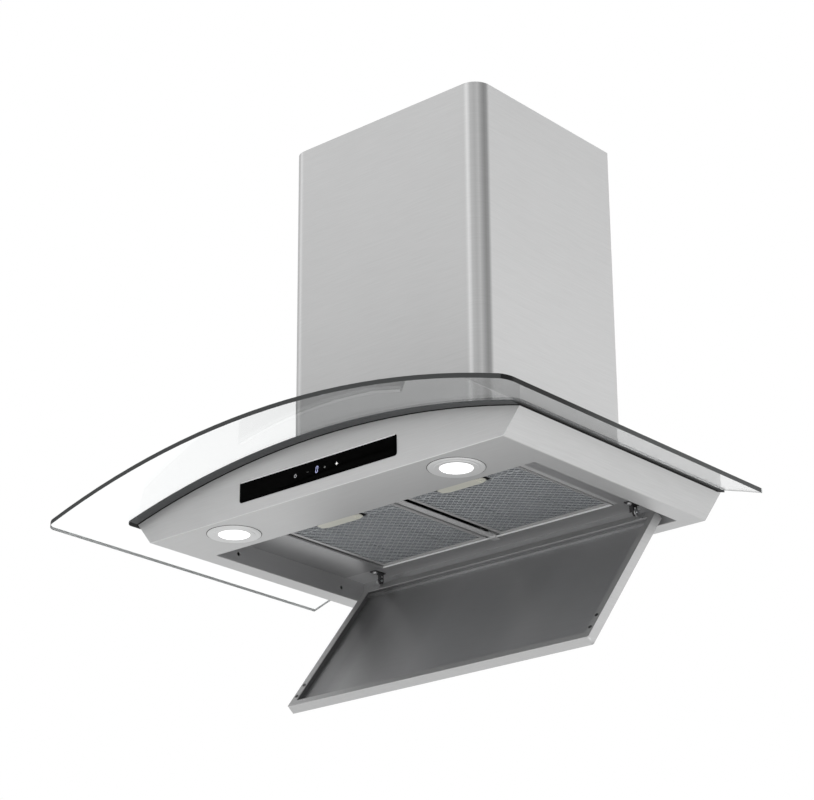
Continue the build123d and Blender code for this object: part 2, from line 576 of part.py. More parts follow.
def latch_handle():
    """Sprung finger pull with tapered ends and a bolt that holds the filter's front edge up."""
    half, y0, y1 = HANDLE_WIDTH / 2, HANDLE_Y - 9, HANDLE_Y + 9
    x0, x1, taper, shoulder = HANDLE_X - half, HANDLE_X + half, 9.0, 5.0
    corners = (
        (x0, HANDLE_Y - shoulder), (x0 + taper, y0), (x1 - taper, y0), (x1, HANDLE_Y - shoulder),
        (x1, HANDLE_Y + shoulder), (x1 - taper, y1), (x0 + taper, y1), (x0, HANDLE_Y + shoulder),
    )
    face = make_face(Polyline(*corners, close=True))
    face_top = FILTER_Z + 0.4
    pull = Pos(0, 0, HANDLE_LOW) * extrude(face, face_top - HANDLE_LOW)
    pull += block(HANDLE_X - 30, HANDLE_X + 30, y0 + 1, BLOCK_REAR, face_top, face_top + 4)
    pull -= block(x1 - 9, x1 - 4, HANDLE_Y - 4, HANDLE_Y + 4, HANDLE_LOW - 1, HANDLE_LOW + 1.2)
    bolt_z = FILTER_Z + 1.3
    return pull + block(HANDLE_X - 5, HANDLE_X + 5, BOLT_TIP, y0 + 2, bolt_z, bolt_z + 2.8)


SPRING_WIRE, SPRING_RADIUS, SPRING_TURNS = 0.5, 1.7, 5
SPRING_OFFSET = 22.0


def latch_spring():
    """Small compression spring between the pull and the pocket's rear wall."""
    start, end = BLOCK_REAR + 0.3, POCKET_REAR - 1.8
    length = end - start - 2 * SPRING_WIRE
    coil = Helix(length / SPRING_TURNS, length, SPRING_RADIUS)
    place = Pos(HANDLE_X + SPRING_OFFSET, end - SPRING_WIRE, FILTER_Z + 3.2) * Rot(90, 0, 0)
    section = Plane(origin=coil @ 0, z_dir=coil % 0) * Circle(SPRING_WIRE / 2)
    return place * sweep(section, path=coil, is_frenet=True)


# Hinged panel, drawn closed and then swung open about its pins
PANEL_FRONT, PANEL_BOTTOM = PANEL_REAR - PANEL_DEPTH, PANEL_TOP - PANEL_THICK
PANEL_SHEET, PANEL_RIM, PANEL_RIM_REAR, LINER_DEPTH = 0.8, 10.0, 12.0, 5.6
PANEL_SCREW_X, PANEL_SCREW_YS = PANEL_HALF - 5.4, (PANEL_REAR - 229.7, PANEL_REAR - 207.2)
HINGE_PIN_RADIUS, STRAP_HALF, EAR_INNER = 1.6, 1.0, 1.9


def swung(part):
    """The piece turned from the closed panel's place to the open one."""
    return part.rotate(Axis((0, HINGE_Y, HINGE_Z), (1, 0, 0)), PANEL_OPEN_DEG)


def panel_tray():
    """Outer tray of the panel, with its edges folded up and in."""
    face = Pos(0, (PANEL_FRONT + PANEL_REAR) / 2) * RectangleRounded(2 * PANEL_HALF, PANEL_DEPTH, 2.0)
    t = PANEL_SHEET
    tray = Pos(0, 0, PANEL_BOTTOM) * extrude(face, PANEL_THICK)
    tray -= block(
        -PANEL_HALF + t, PANEL_HALF - t, PANEL_FRONT + t, PANEL_REAR - t, PANEL_BOTTOM + t, PANEL_TOP - t
    )
    tray -= block(
        -PANEL_HALF + PANEL_RIM, PANEL_HALF - PANEL_RIM, PANEL_FRONT + PANEL_RIM,
        PANEL_REAR - PANEL_RIM_REAR, PANEL_TOP - 2, PANEL_TOP + 2,
    )
    for side in (-1, 1):
        for y in PANEL_SCREW_YS:
            tray -= rod_z(PANEL_TOP - 3, PANEL_TOP + 3, side * PANEL_SCREW_X, y, 1.5)
    return swung(tray)


def panel_liner():
    """Inner pan of the panel, sunk below the rim, with a folded step along the hinge side."""
    t = PANEL_SHEET
    x1, y0, y1 = PANEL_HALF - PANEL_RIM, PANEL_FRONT + PANEL_RIM, PANEL_REAR - PANEL_RIM_REAR
    top = PANEL_TOP - t
    floor_z = PANEL_TOP - LINER_DEPTH
    lap = 5.0
    pan = block(-x1, x1, y0, y1, floor_z - t, top)
    pan += block(-x1 - lap, x1 + lap, y0 - lap, y1 + lap, top - t, top)
    pan -= block(-x1 + t, x1 - t, y0 + t, y1 - t, floor_z, top + 1)
    step = block(-x1 + t, x1 - t, y1 - t - 7, y1 - t - 2, floor_z, floor_z + 3.0)
    pan += step
    for side in (-1, 1):
        for y in PANEL_SCREW_YS:
            pan -= rod_z(PANEL_TOP - 3, PANEL_TOP + 3, side * PANEL_SCREW_X, y, 1.5)
    return swung(pan)


def panel_screws():
    """Small flush screws that hold the pan in the tray."""
    screws = []
    for side in (-1, 1):
        for y in PANEL_SCREW_YS:
            x = side * PANEL_SCREW_X
            shank = rod_z(PANEL_TOP - 4.0, PANEL_TOP, x, y, 1.5)
            head = rod_z(PANEL_TOP, PANEL_TOP + 0.7, x, y, 2.4)
            screws.append(swung(shank + head - rod_z(PANEL_TOP + 0.3, PANEL_TOP + 1, x, y, 0.9)))
    return screws


def hinge_ear():
    """Upright ear on the panel's rim beside the right-hand strap."""
    x0 = STRAP_X + EAR_INNER
    x1 = x0 + 2.0
    ear = rod_x(x0, x1, HINGE_Y, HINGE_Z, 4.4)
    ear += block(x0, x1, HINGE_Y - 4.4, PANEL_REAR - 0.3, PANEL_TOP, HINGE_Z)
    ear += block(x0, x0 + 11, -54, PANEL_REAR - 0.3, PANEL_TOP, PANEL_TOP + 1.0)
    return swung(ear - rod_x(x0 - 2, x1 + 2, HINGE_Y, HINGE_Z, HINGE_PIN_RADIUS))


def hinge_pin():
    """Headed pin through the right-hand strap and ear."""
    start, end = STRAP_X - 2.2, STRAP_X + EAR_INNER + 2.6
    pin = rod_x(start, end, HINGE_Y, HINGE_Z, HINGE_PIN_RADIUS)
    head = rod_x(end, end + 1.2, HINGE_Y, HINGE_Z, 2.8)
    return swung(pin + head)


def hinge_strap():
    """Perforated steel strap that hangs from the deck and carries the hinge pin."""
    x0, x1 = STRAP_X - STRAP_HALF, STRAP_X + STRAP_HALF
    radius, spare_hole_z, spare_hole_radius = 4.6, 22.6, 1.4
    strap = rod_x(x0, x1, HINGE_Y, HINGE_Z, radius)
    strap += block(x0, x1, HINGE_Y - radius, HINGE_Y + radius, HINGE_Z, DECK_Z)
    strap += block(x0 - 3.5, x0, HINGE_Y - radius, HINGE_Y - radius + 1.2, HINGE_Z, DECK_Z)
    strap += block(x0 - 3.5, x1 + 5, HINGE_Y - 16, HINGE_Y + radius, DECK_Z - 1.4, DECK_Z)
    strap -= rod_x(x0 - 5, x1 + 5, HINGE_Y, HINGE_Z, HINGE_PIN_RADIUS + 0.08)
    strap -= rod_x(x0 - 0.5, x1 + 5, HINGE_Y, spare_hole_z, spare_hole_radius)
    return strap


def strap_screws():
    """Domed screws that hold the two straps to the deck."""
    x, y, seat = STRAP_X + 0.8, HINGE_Y - 11.0, DECK_Z - 1.4
    dome = Pos(x, y, seat) * Sphere(3.4)
    head = dome & block(x - 5, x + 5, y - 5, y + 5, seat - 2.4, seat)
    return [head, mirrored(head)]


def catch_magnets():
    """Magnet blocks under the deck that the closed panel's front rim meets."""
    magnet = block(150, 180, -294, -282.6, PANEL_TOP + 0.3, DECK_Z)
    return [magnet, mirrored(magnet)]


def build():
    """Every sub-part by its node name."""
    parts = {
        "canopy_shell": canopy_shell(),
        "recess_liner": recess_liner(),
        "filter_divider": filter_divider(),
        "filter_hangers": filter_hangers(),
        "glass_canopy": glass_canopy(),
        "glass_seal": glass_seal(),
        "glass_clamps": glass_clamps(),
        "glass_clamp_screws": glass_clamp_screws(),
        "chimney_cover": chimney_cover(),
        "chimney_extension": chimney_extension(),
        "chimney_bracket": chimney_bracket(),
        "wall_plate": wall_plate(),
        "blower_box": blower_box(),
        "blower_flange": blower_flange(),
        "scroll_housing": scroll_housing(),
        "fan_wheel": fan_wheel(),
        "motor_shaft": motor_shaft(),
        "hub_nut": hub_nut(),
        "motor": motor(),
        "motor_bracket": motor_bracket(),
        "outlet_collar": outlet_collar(),
        "outlet_flange": outlet_flange(),
        "damper_pins": damper_pins(),
        "damper_flap_front": damper_flap(-1),
        "damper_flap_rear": damper_flap(1),
        "terminal_box": terminal_box(),
        "cable_gland": cable_gland(),
        "run_capacitor": run_capacitor(),
        "lamp_driver": lamp_driver(),
        "control_glass": control_glass(),
        "control_housing": control_housing(),
        "control_board": control_board(),
        "panel_tray": panel_tray(),
        "panel_liner": panel_liner(),
        "panel_screws": panel_screws(),
        "strap_screws": strap_screws(),
        "catch_magnets": catch_magnets(),
    }
    paired = {
        "lamp_bezel": lamp_bezel(),
        "lamp_lens": lamp_lens(),
        "lamp_can": lamp_can(),
        "hinge_strap": hinge_strap(),
        "hinge_ear": hinge_ear(),
        "hinge_pin": hinge_pin(),
    }
    for name, part in paired.items():
        parts[f"{name}_right"] = part
        parts[f"{name}_left"] = mirrored(part)
    one_filter = {
        "filter_frame": filter_frame(),
        "filter_mesh": filter_mesh(),
        "handle_pocket": handle_pocket(),
        "latch_handle": latch_handle(),
        "latch_spring": latch_spring(),
    }
    for name, part in one_filter.items():
        parts[f"{name}_right"] = part
        parts[f"{name}_left"] = Pos(-FILTER_PITCH, 0, 0) * part
    return parts


os.makedirs("parts", exist_ok=True)
for name, part in build().items():
    shape = Compound(children=part) if isinstance(part, list) else part
    export_step(shape, f"parts/{name}.step")
    print(name, len(shape.solids()), round(shape.volume / 1000, 2), "cm3")
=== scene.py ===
from math import cos, radians, sin, tan

import bpy
from mathutils import Matrix, Vector


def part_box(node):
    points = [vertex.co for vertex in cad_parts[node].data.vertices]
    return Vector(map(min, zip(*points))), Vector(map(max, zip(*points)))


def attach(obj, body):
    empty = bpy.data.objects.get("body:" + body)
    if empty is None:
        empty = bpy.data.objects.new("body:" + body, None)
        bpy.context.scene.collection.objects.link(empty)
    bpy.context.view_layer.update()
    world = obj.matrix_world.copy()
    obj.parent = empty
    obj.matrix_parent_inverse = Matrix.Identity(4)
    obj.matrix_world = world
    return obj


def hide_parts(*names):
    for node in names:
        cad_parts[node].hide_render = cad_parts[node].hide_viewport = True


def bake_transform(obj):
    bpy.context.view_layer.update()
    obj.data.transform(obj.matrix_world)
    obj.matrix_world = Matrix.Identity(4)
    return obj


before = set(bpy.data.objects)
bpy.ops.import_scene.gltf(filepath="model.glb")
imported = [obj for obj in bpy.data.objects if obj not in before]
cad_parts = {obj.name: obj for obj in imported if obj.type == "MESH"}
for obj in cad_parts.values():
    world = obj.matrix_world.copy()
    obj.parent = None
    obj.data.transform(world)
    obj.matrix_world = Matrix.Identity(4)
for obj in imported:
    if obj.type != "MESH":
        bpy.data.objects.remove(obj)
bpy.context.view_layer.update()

bpy.ops.object.select_all(action="DESELECT")


# ---------------------------------------------------------------- Camera
# The hood is looked at from below, from the right of its front, with a long lens.
# The lens is a little off the picture's middle, as in a cropped photograph.
PICTURE_WIDTH, PICTURE_HEIGHT = 814, 800
FOCAL_PIXELS = 2410.47
LENS_X, LENS_Y = 396.19, 398.74
STAND = (1.8699, -2.3919, -0.9665)
YAW, PITCH, ROLL = radians(41.16), radians(21.72), radians(-0.30)

camera = bpy.data.objects.new("camera", bpy.data.cameras.new("camera"))
bpy.context.scene.collection.objects.link(camera)
bpy.context.scene.camera = camera
camera.data.sensor_width = 36.0
camera.data.lens = FOCAL_PIXELS / PICTURE_WIDTH * camera.data.sensor_width
camera.data.shift_x = (PICTURE_WIDTH / 2 - LENS_X) / PICTURE_WIDTH
camera.data.shift_y = (LENS_Y - PICTURE_HEIGHT / 2) / PICTURE_WIDTH
camera.data.clip_start, camera.data.clip_end = 0.05, 60.0
camera.matrix_world = (
    Matrix.Translation(STAND)
    @ Matrix.Rotation(YAW, 4, "Z")
    @ Matrix.Rotation(radians(90) + PITCH, 4, "X")
    @ Matrix.Rotation(ROLL, 4, "Z")
)
bpy.context.scene.view_settings.view_transform = "Standard"


# ---------------------------------------------------------------- Studio
# A white studio with soft light from all round, a pale paper floor well below the hood, and
# large soft boxes that give the steel faces their different tones.
def linear(code):
    """One sRGB hex colour as the linear values that a shader takes."""
    channels = [int(code[k:k + 2], 16) / 255 for k in (1, 3, 5)]
    return [c / 12.92 if c <= 0.04045 else ((c + 0.055) / 1.055) ** 2.4 for c in channels] + [1.0]


def add_node(tree, kind, values=None, links=None, **settings):
    """Adds a node with its settings, its input values and its input links."""
    made = tree.nodes.new(kind)
    for name, value in settings.items():
        setattr(made, name, value)
    for name, value in (values or {}).items():
        made.inputs[name].default_value = value
    for name, source in (links or {}).items():
        tree.links.new(source, made.inputs[name])
    return made


def seen_directly(tree):
    """1 for camera, mirror and glass rays, which see the plain white background."""
    path = add_node(tree, "ShaderNodeLightPath")
    first = add_node(tree, "ShaderNodeMath", operation="MAXIMUM", links={
        0: path.outputs["Is Camera Ray"], 1: path.outputs["Is Glossy Ray"]})
    return add_node(tree, "ShaderNodeMath", operation="MAXIMUM", links={
        0: first.outputs[0], 1: path.outputs["Is Transmission Ray"]}).outputs[0]


WHITE = "#FFFFFF"
AMBIENT_STRENGTH, GLASS_BOOST = 0.62, 0.5
world = bpy.context.scene.world or bpy.data.worlds.new("studio")
bpy.context.scene.world = world
world.use_nodes = True
tree = world.node_tree
tree.nodes.clear()

# Rays that come through the grey glass meet a stronger white, so that it stays white behind it.
through_glass = add_node(tree, "ShaderNodeLightPath").outputs["Is Transmission Ray"]
behind = add_node(tree, "ShaderNodeMath", {1: GLASS_BOOST, 2: 1.0}, {
    0: through_glass}, operation="MULTIPLY_ADD")
ambient = add_node(tree, "ShaderNodeBackground", {
    "Color": linear("#F6F7F8"), "Strength": AMBIENT_STRENGTH})
plain = add_node(tree, "ShaderNodeBackground", {"Color": linear(WHITE)}, {"Strength": behind.outputs[0]})
sky = add_node(tree, "ShaderNodeMixShader", links={
    0: seen_directly(tree), 1: ambient.outputs[0], 2: plain.outputs[0]})
add_node(tree, "ShaderNodeOutputWorld", links={"Surface": sky.outputs[0]})

FLOOR_SIZE, FLOOR_Z, FLOOR_GLOW = 14, -1.06, 0.6
bpy.ops.mesh.primitive_plane_add(size=FLOOR_SIZE, location=(0, 0, FLOOR_Z))
floor = bpy.context.object
floor.name = "studio_floor"
paper = bpy.data.materials.new("studio paper")
paper.use_nodes = True
tree = paper.node_tree
tree.nodes.clear()
matt = add_node(tree, "ShaderNodeBsdfDiffuse", {"Color": linear("#E4E4E3")})
lift = add_node(tree, "ShaderNodeMath", {1: FLOOR_GLOW}, {0: seen_directly(tree)}, operation="MULTIPLY")
glow = add_node(tree, "ShaderNodeEmission", {"Color": linear(WHITE)}, {"Strength": lift.outputs[0]})
both = add_node(tree, "ShaderNodeAddShader", links={0: matt.outputs[0], 1: glow.outputs[0]})
# The paper has one face: from underneath, the hood is seen through it.
underneath = add_node(tree, "ShaderNodeNewGeometry").outputs["Backfacing"]
clear = add_node(tree, "ShaderNodeBsdfTransparent")
one_sided = add_node(tree, "ShaderNodeMixShader", links={
    0: underneath, 1: both.outputs[0], 2: clear.outputs[0]})
add_node(tree, "ShaderNodeOutputMaterial", links={"Surface": one_sided.outputs[0]})
floor.data.materials.append(paper)

AIM = Vector((0, -0.2, 0.15))


def soft_box(name, place, width, height, power):
    """A rectangular lamp that faces the hood; sizes in metres and power in watts."""
    lamp = bpy.data.lights.new(name, "AREA")
    lamp.shape, lamp.size, lamp.size_y, lamp.energy = "RECTANGLE", width, height, power
    holder = bpy.data.objects.new(name, lamp)
    bpy.context.scene.collection.objects.link(holder)
    holder.location = place
    holder.rotation_euler = (AIM - Vector(place)).to_track_quat("-Z", "Y").to_euler()


soft_box("front_left_box", (-1.75, -2.55, 1.60), 1.9, 2.2, 4.5)
soft_box("right_rear_box", (1.80, 2.20, 1.70), 2.0, 2.2, 4)
soft_box("overhead_box", (0.0, -0.4, 3.2), 2.4, 2.4, 8)
soft_box("low_front_box", (0.8, -1.9, -1.0), 2.4, 1.2, 18)
soft_box("low_right_box", (2.3, -0.3, -0.55), 1.6, 1.4, 16)


# ---------------------------------------------------------------- Body
# The body is one folded and welded sheet of 430 stainless steel, belt ground outside.
# Its arched top carries the glass; the flange round the recess carries the two lamps.
def new_material(name):
    """A material with nodes, its tree and its surface shader."""
    material = bpy.data.materials.new(name)
    material.use_nodes = True
    return material, material.node_tree, material.node_tree.nodes["Principled BSDF"]


GRAIN_LENGTH, FLAT_FROM, CLOUDS = 45, 0.75, 6.0


def brushed_steel(name, colour, roughness, line, contrast, metallic=0.6):
    """Ground stainless sheet: a soft sheen broken by fine level lines. The grain runs level on
    upright faces and along X on flat ones. line is the width of a grain line in mm; the real
    one is 0.1 mm, too fine to show. metallic stays below 1, because ground steel scatters light
    as well as mirroring it."""
    material, tree, surface = new_material(name)
    place = add_node(tree, "ShaderNodeTexCoord").outputs["Object"]
    fine, long = 1000 / line, 1000 / GRAIN_LENGTH
    upright = add_node(tree, "ShaderNodeMapping", {"Scale": (long, long, fine)}, {"Vector": place})
    level = add_node(tree, "ShaderNodeMapping", {"Scale": (long, fine, long)}, {"Vector": place})
    facing = add_node(tree, "ShaderNodeSeparateXYZ", links={
        0: add_node(tree, "ShaderNodeNewGeometry").outputs["Normal"]})
    steep = add_node(tree, "ShaderNodeMath", links={0: facing.outputs["Z"]}, operation="ABSOLUTE")
    flat = add_node(tree, "ShaderNodeMath", {1: FLAT_FROM}, {0: steep.outputs[0]}, operation="GREATER_THAN")
    where = add_node(tree, "ShaderNodeMix", links={
        "Factor": flat.outputs[0], 4: upright.outputs[0], 5: level.outputs[0]}, data_type="VECTOR")
    grain = add_node(tree, "ShaderNodeTexNoise", {"Scale": 1.0, "Detail": 3.0, "Roughness": 0.6}, {
        "Vector": where.outputs[1]})
    cloud = add_node(tree, "ShaderNodeTexNoise", {"Scale": CLOUDS, "Detail": 2.0}, {"Vector": place})
    base = linear(colour)
    dark = [c * (1 - contrast) for c in base[:3]] + [1.0]
    pale = [min(1.0, c * (1 + contrast)) for c in base[:3]] + [1.0]
    tone = add_node(tree, "ShaderNodeMix", {6: dark, 7: pale}, {
        "Factor": grain.outputs["Fac"]}, data_type="RGBA")
    gloss = add_node(tree, "ShaderNodeMapRange", {
        "To Min": roughness - 0.05, "To Max": roughness + 0.07}, {"Value": cloud.outputs["Fac"]})
    relief = add_node(tree, "ShaderNodeBump", {"Strength": 0.06, "Distance": 0.0002}, {
        "Height": grain.outputs["Fac"]})
    tree.links.new(tone.outputs[2], surface.inputs["Base Color"])
    tree.links.new(gloss.outputs[0], surface.inputs["Roughness"])
    tree.links.new(relief.outputs[0], surface.inputs["Normal"])
    surface.inputs["Metallic"].default_value = metallic
    return material


def only(piece):
    """Selects one piece alone and makes it the active one."""
    bpy.ops.object.select_all(action="DESELECT")
    piece.select_set(True)
    bpy.context.view_layer.objects.active = piece


def copy_of(node, name):
    """A copy of a CAD node with its doubled points merged, as the start of a finer piece."""
    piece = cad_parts[node].copy()
    piece.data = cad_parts[node].data.copy()
    piece.name = piece.data.name = name
    piece.parent = None
    bpy.context.scene.collection.objects.link(piece)
    only(piece)
    bpy.ops.object.mode_set(mode="EDIT")
    bpy.ops.mesh.select_all(action="SELECT")
    bpy.ops.mesh.remove_doubles(threshold=0.00002)
    bpy.ops.mesh.customdata_custom_splitnormals_clear()
    bpy.ops.mesh.dissolve_limited(angle_limit=radians(0.2))
    bpy.ops.mesh.select_all(action="DESELECT")
    bpy.ops.object.mode_set(mode="OBJECT")
    piece.data.materials.clear()
    return piece


def pick(piece, kind, test):
    """Goes into edit mode with only the faces or edges selected that pass a test."""
    only(piece)
    bpy.ops.object.mode_set(mode="EDIT")
    bpy.ops.mesh.select_mode(type=kind)
    bpy.ops.mesh.select_all(action="DESELECT")
    bpy.ops.object.mode_set(mode="OBJECT")
    for item in piece.data.polygons if kind == "FACE" else piece.data.edges:
        item.select = bool(test(item))
    bpy.ops.object.mode_set(mode="EDIT")


def assign(piece, number, test):
    """Gives the faces that pass a test one of the piece's materials."""
    pick(piece, "FACE", test)
    piece.active_material_index = number
    bpy.ops.object.material_slot_assign()
    bpy.ops.object.mode_set(mode="OBJECT")


def flatten_shading(piece, keep_sharp=False):
    """Lets a smoothly shaded piece's large faces shade flat."""
    piece.modifiers.new("normals", "WEIGHTED_NORMAL").keep_sharp = keep_sharp
    bpy.ops.object.modifier_apply(modifier="normals")


def hand_over(piece, material, body, *nodes, slot=None):
    """Finishes a piece: its material, the body it rides on and the CAD nodes it stands for."""
    if material:
        piece.data.materials.clear()
        piece.data.materials.append(material)
    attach(piece, body)
    if nodes:
        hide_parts(*nodes)


# The front fold's rounded faces get a paler copy of the steel, a painted highlight.
ground_steel = brushed_steel("ground stainless steel", "#C4C4C4", 0.46, 0.9, 0.10, metallic=0.40)
fold_highlight = brushed_steel(
    "ground stainless steel, painted fold highlight", "#D6D6D6", 0.44, 0.9, 0.06, metallic=0.3)
body = copy_of("canopy_shell", "folded_body")
body.data.materials.append(ground_steel)
body.data.materials.append(fold_highlight)

# The folds along the bottom have a 1.3 mm outside radius. The front corners are welded and sharp.
FOLD_RADIUS, BODY_FRONT, BODY_BOTTOM, BOTTOM_HALF = 0.0013, -0.400, 0.0, 0.286


def is_fold(edge):
    """Edges along the bottom of the front and of the sides."""
    a, b = (body.data.vertices[k].co for k in edge.vertices)
    on_bottom = max(a.z, b.z) < BODY_BOTTOM + 1e-5
    on_front = max(a.y, b.y) < BODY_FRONT + 1e-5
    on_side = min(abs(a.x), abs(b.x)) > BOTTOM_HALF and a.x * b.x > 0
    return on_bottom and (on_front or on_side)


pick(body, "EDGE", is_fold)
bpy.ops.mesh.bevel(offset=FOLD_RADIUS, segments=3, profile=0.5)
bpy.ops.object.mode_set(mode="OBJECT")
# Painted highlight on the rounded faces of the front fold.
assign(body, 1, lambda face: face.center.y < BODY_FRONT + 0.001 and face.center.z < FOLD_RADIUS
       and face.normal.z < -0.03 and abs(face.normal.x) < 0.05)
bpy.ops.object.shade_smooth_by_angle(angle=radians(32))
flatten_shading(body, keep_sharp=True)
hand_over(body, None, "hood", "canopy_shell", slot="brushed_steel")


# ---------------------------------------------------------------- Recess
# Inside the flange a folded liner of the same steel carries the deck that the filters hang in.
# It is mill finished, so it is smoother than the outside; its darker colour is painted shade of the recess.
shaded_mill_steel = brushed_steel("mill-finished stainless steel", "#A2A2A3", 0.36, 1.6, 0.06, metallic=0.5)
lip_highlight = brushed_steel("near-white painted lip highlight", "#F0F0F0", 0.45, 1.2, 0.04, metallic=0.1)
# Painted light: the divider, and the stripes beside the filters, take a paler copy of the mill steel.
pale_lit_steel = brushed_steel(
    "mill-finished stainless steel, paler painted-light copy", "#CFCFCF", 0.45, 1.2, 0.05, metallic=0.2)
lit_deck_steel = brushed_steel("mill-finished stainless steel, deck", "#BEBEBF", 0.36, 1.6, 0.06, metallic=0.5)


def cut(place, way, clear):
    """Cuts the whole mesh through a point; clear removes what lies beyond the cut."""
    bpy.ops.mesh.select_all(action="SELECT")
    bpy.ops.mesh.bisect(plane_co=place, plane_no=way, clear_outer=clear)


def finish(material, *names):
    """Gives CAD nodes their material."""
    for name in names:
        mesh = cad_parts[name].data
        mesh.materials.clear()
        mesh.materials.append(material)


deck = copy_of("recess_liner", "deck_and_walls")
for material in (shaded_mill_steel, lip_highlight, pale_lit_steel, lit_deck_steel):
    deck.data.materials.append(material)

# Painted highlight: the lip's edge along the filters' rear is painted near white.
LIP_X, LIP_Y, LIP_TOP, LIP_HALF = 0.1924, -0.0615, 0.0281, 0.19
assign(deck, 1, lambda face: abs(face.center.y - LIP_Y) < 0.0012 and face.center.z < LIP_TOP
       and (face.normal.y < -0.9 or face.normal.z < -0.9) and abs(face.center.x) < LIP_HALF)

# Beside the filters the deck gets a pale stripe 7 mm wide, a painted highlight. Behind them, and beyond the
# right stripe, it takes a paler copy of the mill steel, as painted light.
STRIPE, DECK_LOW, DECK_REAR = 0.007, 0.02, LIP_Y + 0.0015
bpy.ops.object.mode_set(mode="EDIT")
cut((-LIP_X - STRIPE, 0, 0), (1, 0, 0), False)
cut((LIP_X + STRIPE, 0, 0), (1, 0, 0), False)
cut((0, DECK_REAR, 0), (0, 1, 0), False)
bpy.ops.object.mode_set(mode="OBJECT")


def on_deck(face):
    """Faces on the deck's underside."""
    return face.normal.z < -0.9 and DECK_LOW < face.center.z < LIP_TOP


assign(deck, 2, lambda face: on_deck(face) and LIP_X < abs(face.center.x) < LIP_X + STRIPE)
assign(deck, 3, lambda face: on_deck(face) and (
    face.center.y > DECK_REAR or face.center.x > LIP_X + STRIPE))
hand_over(deck, None, "hood", "recess_liner", slot="inner_steel")
finish(pale_lit_steel, "filter_divider")
finish(shaded_mill_steel, "filter_hangers")


# ---------------------------------------------------------------- Glass canopy
# A toughened float glass pane, 6 mm thick, bent over the body. Its edges are ground matt,
# so they look dark grey, while the faces stay clear.
EDGE_BEVEL, ARC_CENTRE_Z = 0.0005, -1.150
AIR_GAP, SEAT_HALF = 0.0003, 0.3137


def soften(piece, width, segments=2, angle=35):
    """Rounds a piece's sharp edges and lets its large faces shade flat."""
    only(piece)
    rounding = piece.modifiers.new("rounding", "BEVEL")
    rounding.width, rounding.segments = width, segments
    rounding.limit_method, rounding.angle_limit = "ANGLE", radians(angle)
    rounding.use_clamp_overlap = True
    bpy.ops.object.modifier_apply(modifier=rounding.name)
    bpy.ops.object.shade_smooth()
    flatten_shading(piece)


def outward(face):
    """1 on the glass's top, -1 on its underside and near 0 on its edges."""
    return face.normal.dot(Vector((face.center.x, 0, face.center.z - ARC_CENTRE_Z)).normalized())


# The rubber never fills the last hair of air under the glass.
pane = copy_of("glass_canopy", "glass_pane")
pick(pane, "FACE", lambda face: outward(face) < -0.9)
bpy.ops.transform.translate(value=(0, 0, AIR_GAP))
cut((SEAT_HALF, 0, 0), (1, 0, 0), False)
bpy.ops.object.mode_set(mode="OBJECT")
soften(pane, EDGE_BEVEL)


def float_glass(name, tint, ior):
    """Clear soda-lime glass. Its true IOR is 1.52; a lower one keeps mirror images faint."""
    material, tree, surface = new_material(name)
    surface.inputs["Base Color"].default_value = linear(tint)
    surface.inputs["Transmission Weight"].default_value = 1.0
    surface.inputs["Roughness"].default_value = 0.0
    surface.inputs["IOR"].default_value = ior
    return material


# A ground edge scatters light, so it looks dull and dark, speckled by the wheel every 1.4 mm.
# The left and rear edges are given paler tones than the front one.
LEFT_END, REAR_END, MARKS = -0.3739, -0.004, 700.0
ground_edge, tree, surface = new_material("ground glass edge")
surface.inputs["Roughness"].default_value = 0.35
surface.inputs["IOR"].default_value = 1.5
surface.inputs["Specular IOR Level"].default_value = 0.15
place = add_node(tree, "ShaderNodeTexCoord").outputs["Object"]
wheel_marks = add_node(tree, "ShaderNodeTexNoise", {"Scale": MARKS, "Detail": 2.0}, {"Vector": place})
across = add_node(tree, "ShaderNodeSeparateXYZ", links={0: place})
left_end = add_node(tree, "ShaderNodeMath", {1: LEFT_END}, {
    0: across.outputs["X"]}, operation="LESS_THAN")
rear_end = add_node(tree, "ShaderNodeMath", {1: REAR_END}, {
    0: across.outputs["Y"]}, operation="GREATER_THAN")
paler_ends = add_node(tree, "ShaderNodeMath", links={
    0: left_end.outputs[0], 1: rear_end.outputs[0]}, operation="MAXIMUM")
darker = add_node(tree, "ShaderNodeMix", {6: linear("#343535"), 7: linear("#B4B6B6")}, {
    "Factor": paler_ends.outputs[0]}, data_type="RGBA")
paler = add_node(tree, "ShaderNodeMix", {6: linear("#4A4C4C"), 7: linear("#C6C8C8")}, {
    "Factor": paler_ends.outputs[0]}, data_type="RGBA")
tone = add_node(tree, "ShaderNodeMix", links={
    "Factor": wheel_marks.outputs["Fac"], 6: darker.outputs[2], 7: paler.outputs[2]}, data_type="RGBA")

# The right edge is darkest at its front corner and grows paler towards the rear.
RIGHT_END, CORNER_FROM, CORNER_TO, CORNER_SHADE, REAR_SHADE = 0.366, -0.40, -0.26, 0.12, 1.2
right_end = add_node(tree, "ShaderNodeMath", {1: RIGHT_END}, {
    0: across.outputs["X"]}, operation="GREATER_THAN")
rearward = add_node(tree, "ShaderNodeMapRange", {
    "From Min": CORNER_FROM, "From Max": CORNER_TO, "To Min": CORNER_SHADE, "To Max": REAR_SHADE}, {
    "Value": across.outputs["Y"]})
density = add_node(tree, "ShaderNodeMix", {2: 1.0}, {
    "Factor": right_end.outputs[0], 3: rearward.outputs[0]})
ground = add_node(tree, "ShaderNodeVectorMath", links={
    0: tone.outputs[2], 3: density.outputs[0]}, operation="SCALE")
tree.links.new(ground.outputs[0], surface.inputs["Base Color"])

# The wing right of the body gets a greyer copy of the glass, as a painted reflection of the body's side.
pane.data.materials.append(float_glass("clear float glass", "#D7D8D8", 1.25))
pane.data.materials.append(ground_edge)
pane.data.materials.append(float_glass("float glass, right wing, painted reflection", "#BCBDBD", 1.5))
for face in pane.data.polygons:
    face_glass = 2 if face.center.x > SEAT_HALF else 0
    face.material_index = 1 if abs(outward(face)) < 0.9 else face_glass
hand_over(pane, None, "hood", "glass_canopy", slot="canopy_glass")


